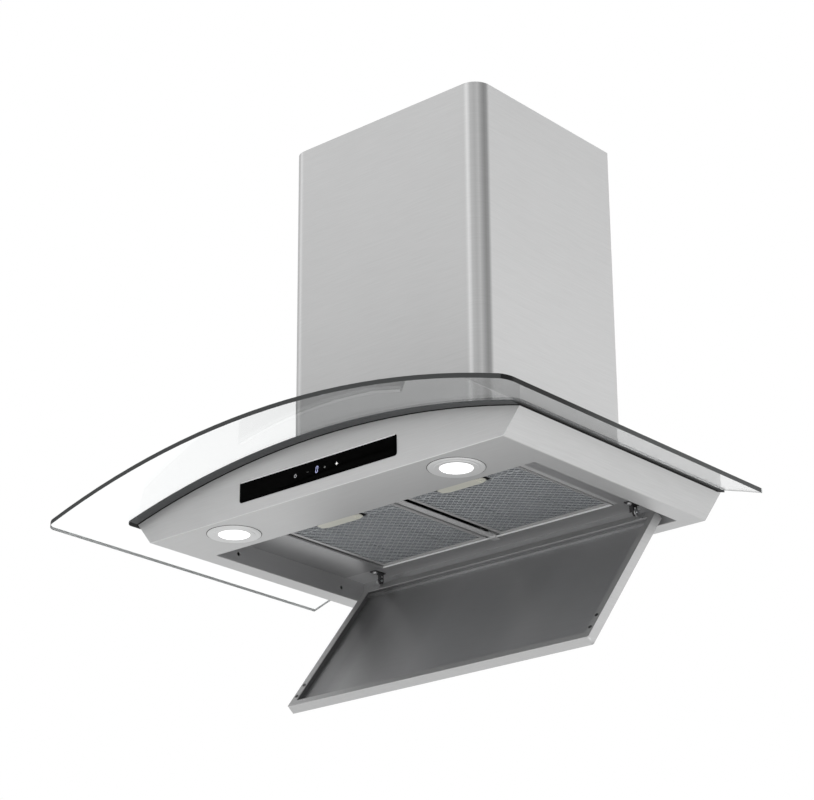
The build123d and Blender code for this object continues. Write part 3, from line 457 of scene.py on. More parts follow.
def rubber(name, dark, pale, gloss=0.5):
    """Extruded EPDM rubber with a dull bloom. gloss is 0.5 on clean rubber; a lower gloss darkens it as
    painted shade in a deep corner.
    """
    material, tree, surface = new_material(name)
    surface.inputs["Roughness"].default_value = 0.62
    surface.inputs["IOR"].default_value = 1.52
    surface.inputs["Specular IOR Level"].default_value = gloss
    place = add_node(tree, "ShaderNodeTexCoord").outputs["Object"]
    bloom = add_node(tree, "ShaderNodeTexNoise", {"Scale": 260.0, "Detail": 3.0}, {"Vector": place})
    tone = add_node(tree, "ShaderNodeMix", {6: linear(dark), 7: linear(pale)}, {
        "Factor": bloom.outputs["Fac"]}, data_type="RGBA")
    tree.links.new(tone.outputs[2], surface.inputs["Base Color"])
    return material


# The strip between glass and body is grey. Beside the body its underside is painted black, a painted
# shadow.
grey_rubber = rubber("grey EPDM rubber", "#4C4D4E", "#5A5B5C", gloss=0.15)
tree = grey_rubber.node_tree
surface = tree.nodes["Principled BSDF"]
coordinates = add_node(tree, "ShaderNodeTexCoord")
turned = add_node(tree, "ShaderNodeSeparateXYZ", links={0: coordinates.outputs["Normal"]})
downward = add_node(tree, "ShaderNodeMath", {1: -0.5}, {0: turned.outputs["Z"]}, operation="LESS_THAN")
across = add_node(tree, "ShaderNodeSeparateXYZ", links={0: coordinates.outputs["Object"]})
aside = add_node(tree, "ShaderNodeMath", links={0: across.outputs["X"]}, operation="ABSOLUTE")
beside = add_node(tree, "ShaderNodeMath", {1: SEAT_HALF - 0.0005}, {
    0: aside.outputs[0]}, operation="GREATER_THAN")
painted_underside_shadow = add_node(tree, "ShaderNodeMath", links={
    0: downward.outputs[0], 1: beside.outputs[0]}, operation="MULTIPLY")
tone = add_node(tree, "ShaderNodeMix", {7: linear("#020202")}, {
    "Factor": painted_underside_shadow.outputs[0], 6: surface.inputs["Base Color"].links[0].from_socket}, data_type="RGBA")
tree.links.new(tone.outputs[2], surface.inputs["Base Color"])
finish(grey_rubber, "glass_seal")


def start(piece, name):
    """Names a fresh primitive, and puts its place and scale into its mesh."""
    piece.name = piece.data.name = name
    bpy.ops.object.transform_apply(location=True, rotation=True, scale=True)
    return piece


# A thin black bead of the same rubber fills the corner between the strip and the steel, as a painted shadow
# line: an arc along the front and a straight run down each side.
BEAD_RADIUS, SEAT_RADIUS, RUN_LENGTH, RUN_MIDDLE = 0.0013, 1.2224, 0.394, -0.203
seat_low = ARC_CENTRE_Z + (SEAT_RADIUS ** 2 - SEAT_HALF ** 2) ** 0.5

bpy.ops.object.select_all(action="DESELECT")
bpy.ops.mesh.primitive_torus_add(
    major_segments=576, minor_segments=10, major_radius=SEAT_RADIUS, minor_radius=BEAD_RADIUS,
    rotation=(radians(90), 0, 0), location=(0, BODY_FRONT, ARC_CENTRE_Z))
bead = start(bpy.context.object, "crevice_shadow_bead")
bpy.ops.object.mode_set(mode="EDIT")
cut((0, 0, 0), (0, 0, -1), True)
cut((SEAT_HALF, 0, 0), (1, 0, 0), True)
cut((-SEAT_HALF, 0, 0), (-1, 0, 0), True)
for side in (-1, 1):
    bpy.ops.mesh.primitive_cylinder_add(
        vertices=10, radius=BEAD_RADIUS, depth=RUN_LENGTH, rotation=(radians(90), 0, 0),
        location=(side * SEAT_HALF, RUN_MIDDLE, seat_low))
bpy.ops.object.mode_set(mode="OBJECT")
bpy.ops.object.shade_smooth_by_angle(angle=radians(50))
hand_over(bead, rubber("black painted shadow", "#020202", "#050505", gloss=0.06), "hood", slot="seal_rubber")

# Hot-dip zinc shows pale spangles, here 110 to the metre, about 9 mm wide.
zinc, tree, surface = new_material("galvanised steel")
surface.inputs["Metallic"].default_value = 1.0
place = add_node(tree, "ShaderNodeTexCoord").outputs["Object"]
spangle = add_node(tree, "ShaderNodeTexVoronoi", {"Scale": 110.0}, {"Vector": place}, feature="F1")
tone = add_node(tree, "ShaderNodeMix", {6: linear("#9DA1A4"), 7: linear("#BDC0C2")}, {
    "Factor": spangle.outputs["Color"]}, data_type="RGBA")
gloss = add_node(tree, "ShaderNodeMapRange", {"To Min": 0.38, "To Max": 0.55}, {
    "Value": spangle.outputs["Distance"]})
tree.links.new(tone.outputs[2], surface.inputs["Base Color"])
tree.links.new(gloss.outputs[0], surface.inputs["Roughness"])
finish(zinc, "glass_clamps")

# Electroplated zinc is bright and even, with a slight haze that changes every 2.5 mm.
plated, tree, surface = new_material("zinc-plated steel")
surface.inputs["Metallic"].default_value = 1.0
surface.inputs["Base Color"].default_value = linear("#C3C6C8")
place = add_node(tree, "ShaderNodeTexCoord").outputs["Object"]
haze = add_node(tree, "ShaderNodeTexNoise", {"Scale": 400.0, "Detail": 2.0}, {"Vector": place})
gloss = add_node(tree, "ShaderNodeMapRange", {"To Min": 0.22, "To Max": 0.36}, {
    "Value": haze.outputs["Fac"]})
tree.links.new(gloss.outputs[0], surface.inputs["Roughness"])
finish(plated, "glass_clamp_screws")


# ---------------------------------------------------------------- Chimney
# Two folded covers of the same ground steel, one sliding inside the other, with a
# 24 mm bend at each front corner. The bracket behind fixes the upper one to the wall.
chimney_steel = brushed_steel("ground stainless steel, chimney", "#C0C0C0", 0.34, 0.9, 0.10, metallic=0.5)

# Painted reflections: the bends get a bright and a dark stripe in the steel's colour.
# The stripes follow how far the surface has turned: 0 is the front, 1 the side.
PAINTED_BEND_REFLECTIONS = (
    (0.0, 0.69), (0.08, 0.75), (0.22, 1.0), (0.30, 0.90), (0.40, 0.66), (0.59, 0.56), (0.73, 0.63),
    (0.85, 0.40), (0.92, 0.31), (0.97, 0.37), (0.992, 0.58), (1.0, 0.69))
# Painted shade: from top to foot the front grows duller and the sides a little brighter, by height in
# metres.
FRONT_PAINTED_SHADE = ((0.125, 1.0), (0.155, 0.86), (0.30, 0.93), (0.55, 1.0))
SIDE_PAINTED_SHADE = ((0.10, 1.0), (0.16, 0.98), (0.30, 0.93), (0.55, 0.88))
# The sides get a painted lift in brightness.
SIDE_PAINTED_LIFT = 1.08
tree = chimney_steel.node_tree
surface = tree.nodes["Principled BSDF"]
coordinates = add_node(tree, "ShaderNodeTexCoord")
turned = add_node(tree, "ShaderNodeSeparateXYZ", links={0: coordinates.outputs["Normal"]})
turn = add_node(tree, "ShaderNodeMath", links={0: turned.outputs["X"]}, operation="ABSOLUTE")
height = add_node(tree, "ShaderNodeSeparateXYZ", links={0: coordinates.outputs["Object"]})
shades = []
for steps, source in ((PAINTED_BEND_REFLECTIONS, turn.outputs[0]), (FRONT_PAINTED_SHADE, height.outputs["Z"]),
                      (SIDE_PAINTED_SHADE, height.outputs["Z"])):
    ramp = add_node(tree, "ShaderNodeValToRGB", links={"Fac": source})
    for place, shade in steps[1:-1]:
        ramp.color_ramp.elements.new(place)
    for stop, (place, shade) in zip(ramp.color_ramp.elements, steps):
        stop.position, stop.color = place, (shade, shade, shade, 1)
    shades.append(ramp.outputs["Color"])
lifted = add_node(tree, "ShaderNodeVectorMath", {3: 1 / PAINTED_BEND_REFLECTIONS[0][1]}, {
    0: surface.inputs["Base Color"].links[0].from_socket}, operation="SCALE")
striped = add_node(tree, "ShaderNodeVectorMath", links={
    0: lifted.outputs[0], 1: shades[0]}, operation="MULTIPLY")
side_shade = add_node(tree, "ShaderNodeVectorMath", {3: SIDE_PAINTED_LIFT}, {0: shades[2]}, operation="SCALE")
shade_at = add_node(tree, "ShaderNodeMix", links={
    "Factor": turn.outputs[0], 6: shades[1], 7: side_shade.outputs[0]}, data_type="RGBA")
toned = add_node(tree, "ShaderNodeVectorMath", links={
    0: striped.outputs[0], 1: shade_at.outputs[2]}, operation="MULTIPLY")
tree.links.new(toned.outputs[0], surface.inputs["Base Color"])

for node, name, body_name in (("chimney_cover", "chimney_skin", "hood"),
                              ("chimney_extension", "sliding_skin", "upper_chimney")):
    cover = copy_of(node, name)
    bpy.ops.object.shade_smooth_by_angle(angle=radians(25))
    flatten_shading(cover, keep_sharp=True)
    hand_over(cover, chimney_steel, body_name, node, slot="brushed_steel")
finish(zinc, "chimney_bracket", "wall_plate")


# ---------------------------------------------------------------- Blower
# A galvanised box with a moulded scroll, a double-inlet wheel on a ribbed motor, and a
# moulded duct collar with two flaps on wire pins.
def moulded(name, dark, pale, roughness, grit):
    """Injection-moulded plastic, dulled by a fine spark-eroded grain; grit is its size in mm."""
    material, tree, surface = new_material(name)
    surface.inputs["IOR"].default_value = 1.52
    place = add_node(tree, "ShaderNodeTexCoord").outputs["Object"]
    grain = add_node(tree, "ShaderNodeTexNoise", {"Scale": 1000 / grit, "Detail": 2.0}, {"Vector": place})
    tone = add_node(tree, "ShaderNodeMix", {6: linear(dark), 7: linear(pale)}, {
        "Factor": grain.outputs["Fac"]}, data_type="RGBA")
    gloss = add_node(tree, "ShaderNodeMapRange", {
        "To Min": roughness - 0.06, "To Max": roughness + 0.08}, {"Value": grain.outputs["Fac"]})
    relief = add_node(tree, "ShaderNodeBump", {"Strength": 0.12, "Distance": 0.0002}, {
        "Height": grain.outputs["Fac"]})
    tree.links.new(tone.outputs[2], surface.inputs["Base Color"])
    tree.links.new(gloss.outputs[0], surface.inputs["Roughness"])
    tree.links.new(relief.outputs[0], surface.inputs["Normal"])
    return material


dark_abs = moulded("dark grey ABS", "#232426", "#2D2E30", 0.50, 1.2)
black_pp = moulded("black polypropylene", "#161617", "#1E1E20", 0.55, 1.4)
finish(zinc, "blower_box", "blower_flange", "outlet_flange", "motor_bracket")
finish(dark_abs, "scroll_housing", "outlet_collar")
finish(black_pp, "fan_wheel", "damper_flap_front", "damper_flap_rear")
finish(plated, "motor_shaft", "hub_nut", "damper_pins")

# Die-cast aluminium has a dull, slightly pitted skin, with a pit about every 2 mm.
cast_alloy, tree, surface = new_material("die-cast aluminium")
surface.inputs["Metallic"].default_value = 1.0
surface.inputs["Roughness"].default_value = 0.5
place = add_node(tree, "ShaderNodeTexCoord").outputs["Object"]
skin = add_node(tree, "ShaderNodeTexNoise", {"Scale": 500.0, "Detail": 3.0}, {"Vector": place})
tone = add_node(tree, "ShaderNodeMix", {6: linear("#8E9091"), 7: linear("#A8AAAB")}, {
    "Factor": skin.outputs["Fac"]}, data_type="RGBA")
relief = add_node(tree, "ShaderNodeBump", {"Strength": 0.2, "Distance": 0.0002}, {
    "Height": skin.outputs["Fac"]})
tree.links.new(tone.outputs[2], surface.inputs["Base Color"])
tree.links.new(relief.outputs[0], surface.inputs["Normal"])
finish(cast_alloy, "motor")


# ---------------------------------------------------------------- Electrics
# A moulded connection box with a gland, the motor's capacitor and the lamp supply, and the
# circuit board of the touch panel in its moulded housing.
white_abs = moulded("white ABS", "#D9D9D6", "#E6E6E3", 0.45, 1.2)
finish(white_abs, "terminal_box", "run_capacitor", "lamp_driver")
finish(black_pp, "cable_gland", "control_housing")

# Glass-filled epoxy under green lacquer shows paler green tracks, 90 rows to the metre.
laminate, tree, surface = new_material("green circuit laminate")
surface.inputs["Roughness"].default_value = 0.35
place = add_node(tree, "ShaderNodeTexCoord").outputs["Object"]
tracks = add_node(tree, "ShaderNodeTexBrick", {
    "Scale": 90.0, "Color1": linear("#1E5A38"), "Color2": linear("#236642"), "Mortar": linear("#3C8A5C")}, {
    "Vector": place})
tree.links.new(tracks.outputs["Color"], surface.inputs["Base Color"])
finish(laminate, "control_board")


# ---------------------------------------------------------------- Touch panel
# A strip of black back-printed glass with bevelled edges, bonded to the front. Small
# symbols light up behind it: a ring, a minus, one digit, a plus and a lamp.
black_glass, tree, surface = new_material("black back-printed glass")
surface.inputs["IOR"].default_value = 1.5
surface.inputs["Base Color"].default_value = linear("#010101")
surface.inputs["Specular IOR Level"].default_value = 0.012
place = add_node(tree, "ShaderNodeTexCoord").outputs["Object"]
smear = add_node(tree, "ShaderNodeTexNoise", {"Scale": 30.0, "Detail": 2.0}, {"Vector": place})
gloss = add_node(tree, "ShaderNodeMapRange", {"To Min": 0.03, "To Max": 0.07}, {
    "Value": smear.outputs["Fac"]})
tree.links.new(gloss.outputs[0], surface.inputs["Roughness"])

# The facet along the top is painted near white, a painted highlight line.
facet_highlight, tree, surface = new_material("near-white painted facet highlight")
surface.inputs["Base Color"].default_value = linear("#FBFBFB")
surface.inputs["Roughness"].default_value = 0.3

FACET, FACET_DEPTH, CORNER = 0.0024, 0.0014, 0.0034
low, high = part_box("control_glass")
bpy.ops.object.select_all(action="DESELECT")
bpy.ops.mesh.primitive_cube_add(size=1)
display = bpy.context.object
display.scale = (high.x - low.x, high.y - low.y - FACET_DEPTH, high.z - low.z)
display.location = (0, (low.y + FACET_DEPTH + high.y) / 2, (low.z + high.z) / 2)
start(display, "touch_panel")
pick(display, "EDGE", lambda edge: abs(
    display.data.vertices[edge.vertices[0]].co.y - display.data.vertices[edge.vertices[1]].co.y) > 1e-4)
bpy.ops.mesh.bevel(offset=CORNER, segments=5)
bpy.ops.object.mode_set(mode="OBJECT")
pick(display, "FACE", lambda face: face.normal.y < -0.9)
bpy.ops.mesh.inset(thickness=FACET, depth=FACET_DEPTH)
bpy.ops.object.mode_set(mode="OBJECT")
display.data.materials.append(black_glass)
display.data.materials.append(facet_highlight)
# Painted highlight: the upward top facet takes the near-white material.
for face in display.data.polygons:
    face.material_index = 1 if face.normal.y < -0.3 and face.normal.z > 0.4 else 0
soften(display, 0.00012, angle=25)
hand_over(display, None, "hood", "control_glass", slot="touch_glass")


def lit(name, colour, strength):
    """A printed window in the black glass with a light behind it."""
    material, tree, surface = new_material(name)
    surface.inputs["Base Color"].default_value = linear("#202020")
    surface.inputs["Roughness"].default_value = 0.3
    surface.inputs["Emission Color"].default_value = linear(colour)
    surface.inputs["Emission Strength"].default_value = strength
    return material


# The symbols are given in millimetres: x from the middle of the hood, z above the body's lower edge.
PRINT_Y, PRINT_THICK = low.y - 0.00004, 0.00005


def stroke(x, z, width, height, lean=0.0):
    """One straight stroke of a symbol, in millimetres, on the face of the glass."""
    bpy.ops.object.select_all(action="DESELECT")
    bpy.ops.mesh.primitive_plane_add(size=0.001, rotation=(radians(90), 0, 0))
    piece = bpy.context.object
    piece.scale = (width, height, 1)
    piece.rotation_euler = (radians(90), radians(lean), 0)
    piece.location = (x / 1000, PRINT_Y, z / 1000)
    return start(piece, "stroke")


def join(pieces, name):
    """Joins pieces into the first of them."""
    only(pieces[0])
    for piece in pieces:
        piece.select_set(True)
    bpy.ops.object.join()
    pieces[0].name = pieces[0].data.name = name
    return pieces[0]


def symbol(name, strokes, material):
    """Joins strokes into one thin raised piece."""
    piece = join(strokes, name)
    thick = piece.modifiers.new("thick", "SOLIDIFY")
    thick.thickness, thick.offset = PRINT_THICK, 0
    bpy.ops.object.modifier_apply(modifier=thick.name)
    hand_over(piece, material, "hood", slot="touch_glass")


# Power: a ring that is open at its top, and a short stroke in the gap.
POWER_X, POWER_Z, RING_SIZE, RING_LINE, RING_OPEN = -32.9, 28.9, 2.1, 0.6, 1.6
bpy.ops.object.select_all(action="DESELECT")
bpy.ops.mesh.primitive_circle_add(
    vertices=24, radius=RING_SIZE / 1000, fill_type="NGON", rotation=(radians(90), 0, 0),
    location=(POWER_X / 1000, PRINT_Y, POWER_Z / 1000))
ring = start(bpy.context.object, "power_ring")
pick(ring, "FACE", lambda face: True)
bpy.ops.mesh.inset(thickness=RING_LINE / 1000, depth=0)
bpy.ops.mesh.delete(type="FACE")
bpy.ops.object.mode_set(mode="OBJECT")
pick(ring, "FACE", lambda face: face.center.z > (POWER_Z + RING_OPEN) / 1000)
bpy.ops.mesh.delete(type="FACE")
bpy.ops.object.mode_set(mode="OBJECT")
soft_white = lit("white lit print", "#E8ECF0", 0.55)
symbol("power_symbol", [ring, stroke(POWER_X, POWER_Z + 1.7, RING_LINE, 1.9)], soft_white)

# Slower and faster: a faint minus and plus.
faint = lit("dim lit print", "#C8CCC8", 0.06)
half_lit = lit("half-lit print", "#D0D4D0", 0.22)
symbol("minus_symbol", [stroke(-12.5, 29.2, 3.0, 0.7)], faint)
symbol("plus_symbol", [stroke(15.7, 28.8, 2.8, 0.8), stroke(15.7, 28.8, 0.8, 2.8)], half_lit)

# Speed: one seven-segment nought, leaning to the right.
DIGIT_X, DIGIT_Z, DIGIT_HALF, SEGMENT_HALF, LEAN = 2.6, 28.9, 1.5, 1.9, 9
slant = tan(radians(LEAN))
segments = [stroke(DIGIT_X + side * DIGIT_HALF + up * SEGMENT_HALF * slant, DIGIT_Z + up * SEGMENT_HALF,
                   0.9, 3.2, LEAN) for side in (-1, 1) for up in (-1, 1)]
segments += [stroke(DIGIT_X + up * 2 * SEGMENT_HALF * slant, DIGIT_Z + up * 2 * SEGMENT_HALF, 2.4, 0.8)
             for up in (-1, 1)]
symbol("speed_digit", segments, lit("blue-white lit print", "#C6CCFF", 0.85))

# Lamp: a bright dot with four rays.
SUN_X, SUN_Z, SUN_SIZE, RAY_AT = 35.1, 28.5, 1.5, 1.7
rays = [stroke(SUN_X, SUN_Z, SUN_SIZE, SUN_SIZE), stroke(SUN_X, SUN_Z, SUN_SIZE, SUN_SIZE, 45)]
rays += [stroke(SUN_X + dx * RAY_AT, SUN_Z + dz * RAY_AT, 0.5 + abs(dx) * 0.5, 0.5 + abs(dz) * 0.5)
         for dx, dz in ((1, 0), (-1, 0), (0, 1), (0, -1))]
symbol("lamp_symbol", rays, lit("bright lit print", "#FFFFFF", 1.6))


# ---------------------------------------------------------------- Lamps
# Each lamp is a frosted acrylic lens in a turned, satin-plated trim ring with two steps,
# clipped into the flange, with a finned die-cast can behind.
satin_plate = brushed_steel("satin-plated zinc", "#DCDCDC", 0.46, 1.2, 0.03, metallic=0.35)
shadow_gasket = rubber("black painted shadow, ring gasket", "#1A1A1A", "#242424")
RING_RADIUS, RING_THICK, LENS_RADIUS, LAMP_Y = 0.0343, 0.0006, 0.0196, -0.3556
GAP_WIDTH, GAP_THICK, GAP_Z, GAP_INSET = 0.0008, 0.0003, -0.0001, 0.0030
# How far in and down each cut of the turning tool goes, in millimetres.
RING_CUTS = ((0.3, 0.2), (2.0, 0), (0.2, 0.4), (5.2, 0), (0.2, 0.4), (5.9, 0), (0.5, -0.5))


def trim_ring(side, x):
    """The turned ring: a cylinder whose lower face is inset and stepped, then bored."""
    bpy.ops.object.select_all(action="DESELECT")
    bpy.ops.mesh.primitive_cylinder_add(
        vertices=96, radius=RING_RADIUS, depth=RING_THICK, location=(x, LAMP_Y, -RING_THICK / 2))
    ring = start(bpy.context.object, "trim_ring_" + side)
    pick(ring, "FACE", lambda face: face.normal.z < -0.9)
    for inward, down in RING_CUTS:
        bpy.ops.mesh.inset(thickness=inward / 1000, depth=down / 1000)
    bpy.ops.object.mode_set(mode="OBJECT")
    pick(ring, "FACE", lambda face: face.normal.z > 0.9)
    bpy.ops.mesh.inset(thickness=RING_RADIUS - LENS_RADIUS - 0.0004, depth=0)
    bpy.ops.object.mode_set(mode="OBJECT")
    pick(ring, "FACE", lambda face: len(face.vertices) > 50)
    bpy.ops.mesh.bridge_edge_loops()
    bpy.ops.mesh.select_all(action="SELECT")
    bpy.ops.mesh.normals_make_consistent(inside=False)
    bpy.ops.object.mode_set(mode="OBJECT")
    soften(ring, 0.00012, angle=20)
    hand_over(ring, satin_plate, "hood", "lamp_bezel_" + side, slot="trim_metal")
    # The flange is dimpled where the ring sits; a thin black ring laid round it is a painted shadow line.
    bpy.ops.object.select_all(action="DESELECT")
    bpy.ops.mesh.primitive_cylinder_add(
        vertices=96, radius=RING_RADIUS + GAP_WIDTH, depth=GAP_THICK, location=(x, LAMP_Y, GAP_Z))
    line = start(bpy.context.object, "ring_shadow_gap_" + side)
    pick(line, "FACE", lambda face: abs(face.normal.z) > 0.9)
    bpy.ops.mesh.inset(thickness=GAP_INSET, depth=0)
    bpy.ops.mesh.bridge_edge_loops()
    bpy.ops.object.mode_set(mode="OBJECT")
    hand_over(line, shadow_gasket, "hood", slot="seal_rubber")


trim_ring("left", -0.1825)
trim_ring("right", 0.1825)
finish(cast_alloy, "lamp_can_left", "lamp_can_right")

# Frosted acrylic glows evenly from edge to edge when the lamp is on.
frosted, tree, surface = new_material("frosted acrylic, lit")
surface.inputs["Base Color"].default_value = linear("#F7F7F5")
surface.inputs["Roughness"].default_value = 0.5
surface.inputs["Emission Color"].default_value = linear(WHITE)
surface.inputs["Emission Strength"].default_value = 1.2
finish(frosted, "lamp_lens_left", "lamp_lens_right")


# ---------------------------------------------------------------- Grease filters
# Each filter is a pack of expanded aluminium layers in a folded steel frame, with a
# moulded pocket, a sprung finger pull and a small wire spring.
frame_steel = brushed_steel("stainless filter frame", "#C4C4C4", 0.42, 1.4, 0.05, metallic=0.3)
finish(frame_steel, "filter_frame_left", "filter_frame_right")
finish(black_pp, "handle_pocket_left", "handle_pocket_right")
pull_plastic = moulded("beige polyoxymethylene", "#DDDCD0", "#E6E5DA", 0.45, 1.0)
for side in ("left", "right"):
    pull = copy_of("latch_handle_" + side, "finger_pull_" + side)
    soften(pull, 0.0004)
    hand_over(pull, pull_plastic, "latch_" + side, "latch_handle_" + side, slot="pull_plastic")

# A return spring is squeezed between the pull's block and the rear wall of the pocket.
for side in ("left", "right"):
    spring = copy_of("latch_spring_" + side, "return_spring_" + side)
    spring.data.materials.append(plated)
    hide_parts("latch_spring_" + side)
    low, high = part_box("latch_spring_" + side)
    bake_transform(spring)


def aluminium(name, dark, pale):
    """Expanded aluminium, degreased, with a slight tarnish that varies over the sheet."""
    material, tree, surface = new_material(name)
    surface.inputs["Metallic"].default_value = 0.8
    surface.inputs["Roughness"].default_value = 0.42
    place = add_node(tree, "ShaderNodeTexCoord").outputs["Object"]
    tarnish = add_node(tree, "ShaderNodeTexNoise", {"Scale": 60.0, "Detail": 3.0}, {"Vector": place})
    tone = add_node(tree, "ShaderNodeMix", {6: linear(dark), 7: linear(pale)}, {
        "Factor": tarnish.outputs["Fac"]}, data_type="RGBA")
    tree.links.new(tone.outputs[2], surface.inputs["Base Color"])
    return material


top_layer = aluminium("expanded aluminium, outer layer", "#9B9EA1", "#B2B4B6")
# The inner layers are the same aluminium, painted darker as the shade inside the pack.
shaded_inner_layer = aluminium("expanded aluminium, inner layers, painted darker", "#767A7D", "#8B8E91")

# The layers lie inside the frame and leave the pocket free.
PACK_LEFT, PACK_RIGHT, PACK_FRONT, PACK_REAR = 0.0135, 0.1853, -0.2738, -0.0632
FILTER_PITCH, POCKET_GAP, CORE_THICK = 0.2024, 0.0005, 0.0026
pocket_low, pocket_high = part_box("handle_pocket_right")
POCKET_LEFT, POCKET_RIGHT = pocket_low.x - POCKET_GAP, pocket_high.x + POCKET_GAP
POCKET_REAR = pocket_high.y + POCKET_GAP
middle = ((PACK_LEFT + PACK_RIGHT) / 2, (PACK_FRONT + PACK_REAR) / 2)


def layer(z, cells, width, height, strand, material):
    """One sheet of diamonds, cut to the pack's outline and round the pocket. With a strand of 0
    it is the closed core of the pack."""
    bpy.ops.object.select_all(action="DESELECT")
    bpy.ops.mesh.primitive_grid_add(x_subdivisions=cells, y_subdivisions=cells, size=1)
    sheet = bpy.context.object
    sheet.rotation_euler = (0, 0, radians(45))
    bpy.ops.object.transform_apply(rotation=True)
    sheet.scale = (width * cells / 2 ** 0.5, height * cells / 2 ** 0.5, 1)
    sheet.location = (*middle, z)
    start(sheet, "layer")
    bpy.ops.object.mode_set(mode="EDIT")
    cut((PACK_RIGHT, 0, 0), (1, 0, 0), True)
    cut((PACK_LEFT, 0, 0), (-1, 0, 0), True)
    cut((0, PACK_REAR, 0), (0, 1, 0), True)
    cut((0, PACK_FRONT, 0), (0, -1, 0), True)
    cut((POCKET_LEFT, 0, 0), (1, 0, 0), False)
    cut((POCKET_RIGHT, 0, 0), (1, 0, 0), False)
    cut((0, POCKET_REAR, 0), (0, 1, 0), False)
    bpy.ops.object.mode_set(mode="OBJECT")
    pick(sheet, "FACE", lambda face: POCKET_LEFT < face.center.x < POCKET_RIGHT
         and face.center.y < POCKET_REAR)
    bpy.ops.mesh.delete(type="FACE")
    bpy.ops.object.mode_set(mode="OBJECT")
    if strand:
        wires = sheet.modifiers.new("strands", "WIREFRAME")
        wires.thickness, wires.use_even_offset = strand, False
        bpy.ops.object.modifier_apply(modifier=wires.name)
    else:
        core = sheet.modifiers.new("core", "SOLIDIFY")
        core.thickness, core.offset = CORE_THICK, 1
        bpy.ops.object.modifier_apply(modifier=core.name)
    sheet.data.materials.append(material)
    return sheet


# The inner diamonds are 9 by 4.5 mm with 0.7 mm strands and lie across the outer ones. The
# outer ones are drawn coarser than the real 9 by 6 mm, so that they show.
right_pack = join([
    layer(0.0308, 48, 0.0100, 0.0080, 0.0009, top_layer),
    layer(0.0320, 68, 0.0045, 0.0090, 0.0007, shaded_inner_layer),
    layer(0.0334, 4, 0.10, 0.10, 0, shaded_inner_layer),
], "mesh_pack_right")
left_pack = right_pack.copy()
left_pack.data = right_pack.data.copy()
left_pack.name = left_pack.data.name = "mesh_pack_left"
bpy.context.scene.collection.objects.link(left_pack)
left_pack.data.transform(Matrix.Translation((-FILTER_PITCH, 0, 0)))
hand_over(right_pack, None, "filter_right", "filter_mesh_right", slot="filter_mesh")
hand_over(left_pack, None, "filter_left", "filter_mesh_left", slot="filter_mesh")


# ---------------------------------------------------------------- Perimeter panel
# A shallow tray of ground steel with a smooth inner pan screwed to it. It hangs by two
# ears from perforated straps, and hides the filters when it is closed.
panel_steel = brushed_steel("ground stainless steel, panel", "#BDBDBD", 0.42, 0.9, 0.10, metallic=0.45)
rim_steel = brushed_steel("satin stainless rim", "#A6A6A6", 0.45, 1.2, 0.06, metallic=0.45)
tray = copy_of("panel_tray", "panel_shell")
tray.data.materials.append(panel_steel)
tray.data.materials.append(rim_steel)

# The folded-in rim and everything inside it are satin; the outside is ground bright.
OPEN = radians(52)
inward = Vector((0, -sin(OPEN), cos(OPEN)))
assign(tray, 1, lambda face: face.normal.dot(inward) > 0.9
       or (abs(face.normal.x) > 0.9 and face.normal.x * face.center.x < 0))
hand_over(tray, None, "panel", "panel_tray", slot="brushed_steel")

# The pan is wiped by hand with a satin pad, in long streaks from front to rear. Painted shade and light:
# its left end is painted dark, with a paler band beside it; the rest is even. Bands are (x, shade).
PAINTED_SHADE_BANDS = (
    (-0.225, 0.32), (-0.195, 0.42), (-0.170, 0.66), (-0.135, 0.76), (-0.060, 0.96), (0.0, 0.88),
    (0.225, 0.86))
PAINTED_BAND_GAIN, STREAKS = 1.6, (11.0, 2.2, 2.2)
bands_from, bands_to = PAINTED_SHADE_BANDS[0][0], PAINTED_SHADE_BANDS[-1][0]
pan_steel = brushed_steel("satin stainless pan", "#8E8E8F", 0.34, 1.8, 0.05, metallic=0.5)
tree = pan_steel.node_tree
surface = tree.nodes["Principled BSDF"]
place = add_node(tree, "ShaderNodeTexCoord").outputs["Object"]
long_way = add_node(tree, "ShaderNodeMapping", {"Scale": STREAKS}, {"Vector": place})
wipe = add_node(tree, "ShaderNodeTexNoise", {"Scale": 1.0, "Detail": 1.5}, {"Vector": long_way.outputs[0]})
depth = add_node(tree, "ShaderNodeMapRange", {
    "From Min": 0.32, "From Max": 0.68, "To Min": 0.95 * PAINTED_BAND_GAIN, "To Max": 1.08 * PAINTED_BAND_GAIN}, {
    "Value": wipe.outputs["Fac"]})
wiped = add_node(tree, "ShaderNodeVectorMath", links={
    0: surface.inputs["Base Color"].links[0].from_socket, 3: depth.outputs[0]}, operation="SCALE")
across = add_node(tree, "ShaderNodeSeparateXYZ", links={0: place})
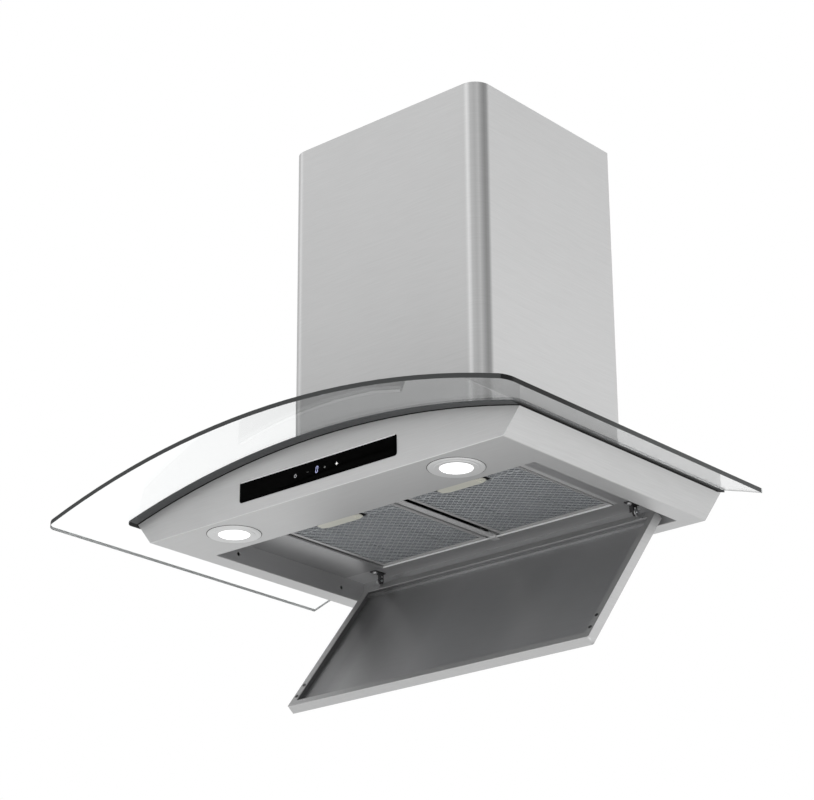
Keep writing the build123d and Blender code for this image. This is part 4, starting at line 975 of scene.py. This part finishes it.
way = add_node(tree, "ShaderNodeMapRange", {"From Min": bands_from, "From Max": bands_to}, {
    "Value": across.outputs["X"]})
bands = add_node(tree, "ShaderNodeValToRGB", links={"Fac": way.outputs[0]})
for x, shade in PAINTED_SHADE_BANDS[1:-1]:
    bands.color_ramp.elements.new((x - bands_from) / (bands_to - bands_from))
for stop, (x, shade) in zip(bands.color_ramp.elements, PAINTED_SHADE_BANDS):
    stop.position = (x - bands_from) / (bands_to - bands_from)
    stop.color = (shade, shade, shade, 1)
banded = add_node(tree, "ShaderNodeVectorMath", links={
    0: wiped.outputs[0], 1: bands.outputs["Color"]}, operation="MULTIPLY")
tree.links.new(banded.outputs[0], surface.inputs["Base Color"])
finish(pan_steel, "panel_liner")

# The straps are darkened as painted shade, and bright rivets in their spare holes are painted glints of
# light through the holes.
shaded_steel = brushed_steel("strap steel, painted shade", "#3C3C3D", 0.5, 1.2, 0.08, metallic=0.4)
hole_glint = brushed_steel("bright rivet, painted glint", "#F4F4F4", 0.3, 1.2, 0.02, metallic=0.2)
finish(shaded_steel, "hinge_strap_left", "hinge_strap_right", "panel_screws")
finish(shaded_mill_steel, "hinge_ear_left", "hinge_ear_right", "strap_screws")
finish(plated, "hinge_pin_left", "hinge_pin_right")
# Painted glints: bright rivets stand for the light seen through the spare holes.
STRAP_X, RIVET_Y, RIVET_Z, RIVET_RADIUS, RIVET_LENGTH = 0.2125, -0.0435, 0.0226, 0.0013, 0.0029
for name, x in (("spare_rivet_left", -STRAP_X), ("spare_rivet_right", STRAP_X)):
    bpy.ops.object.select_all(action="DESELECT")
    bpy.ops.mesh.primitive_cylinder_add(
        vertices=20, radius=RIVET_RADIUS, depth=RIVET_LENGTH, rotation=(0, radians(90), 0),
        location=(x, RIVET_Y, RIVET_Z))
    rivet = start(bpy.context.object, name)
    pick(rivet, "FACE", lambda face: abs(face.normal.x) > 0.9)
    bpy.ops.mesh.inset(thickness=0.0004, depth=0.0003)
    bpy.ops.object.mode_set(mode="OBJECT")
    soften(rivet, 0.0001)
    hand_over(rivet, hole_glint, "hood", slot="plated_steel")

ferrite = moulded("ferrite", "#2A2A2B", "#353536", 0.6, 0.8)
finish(ferrite, "catch_magnets")
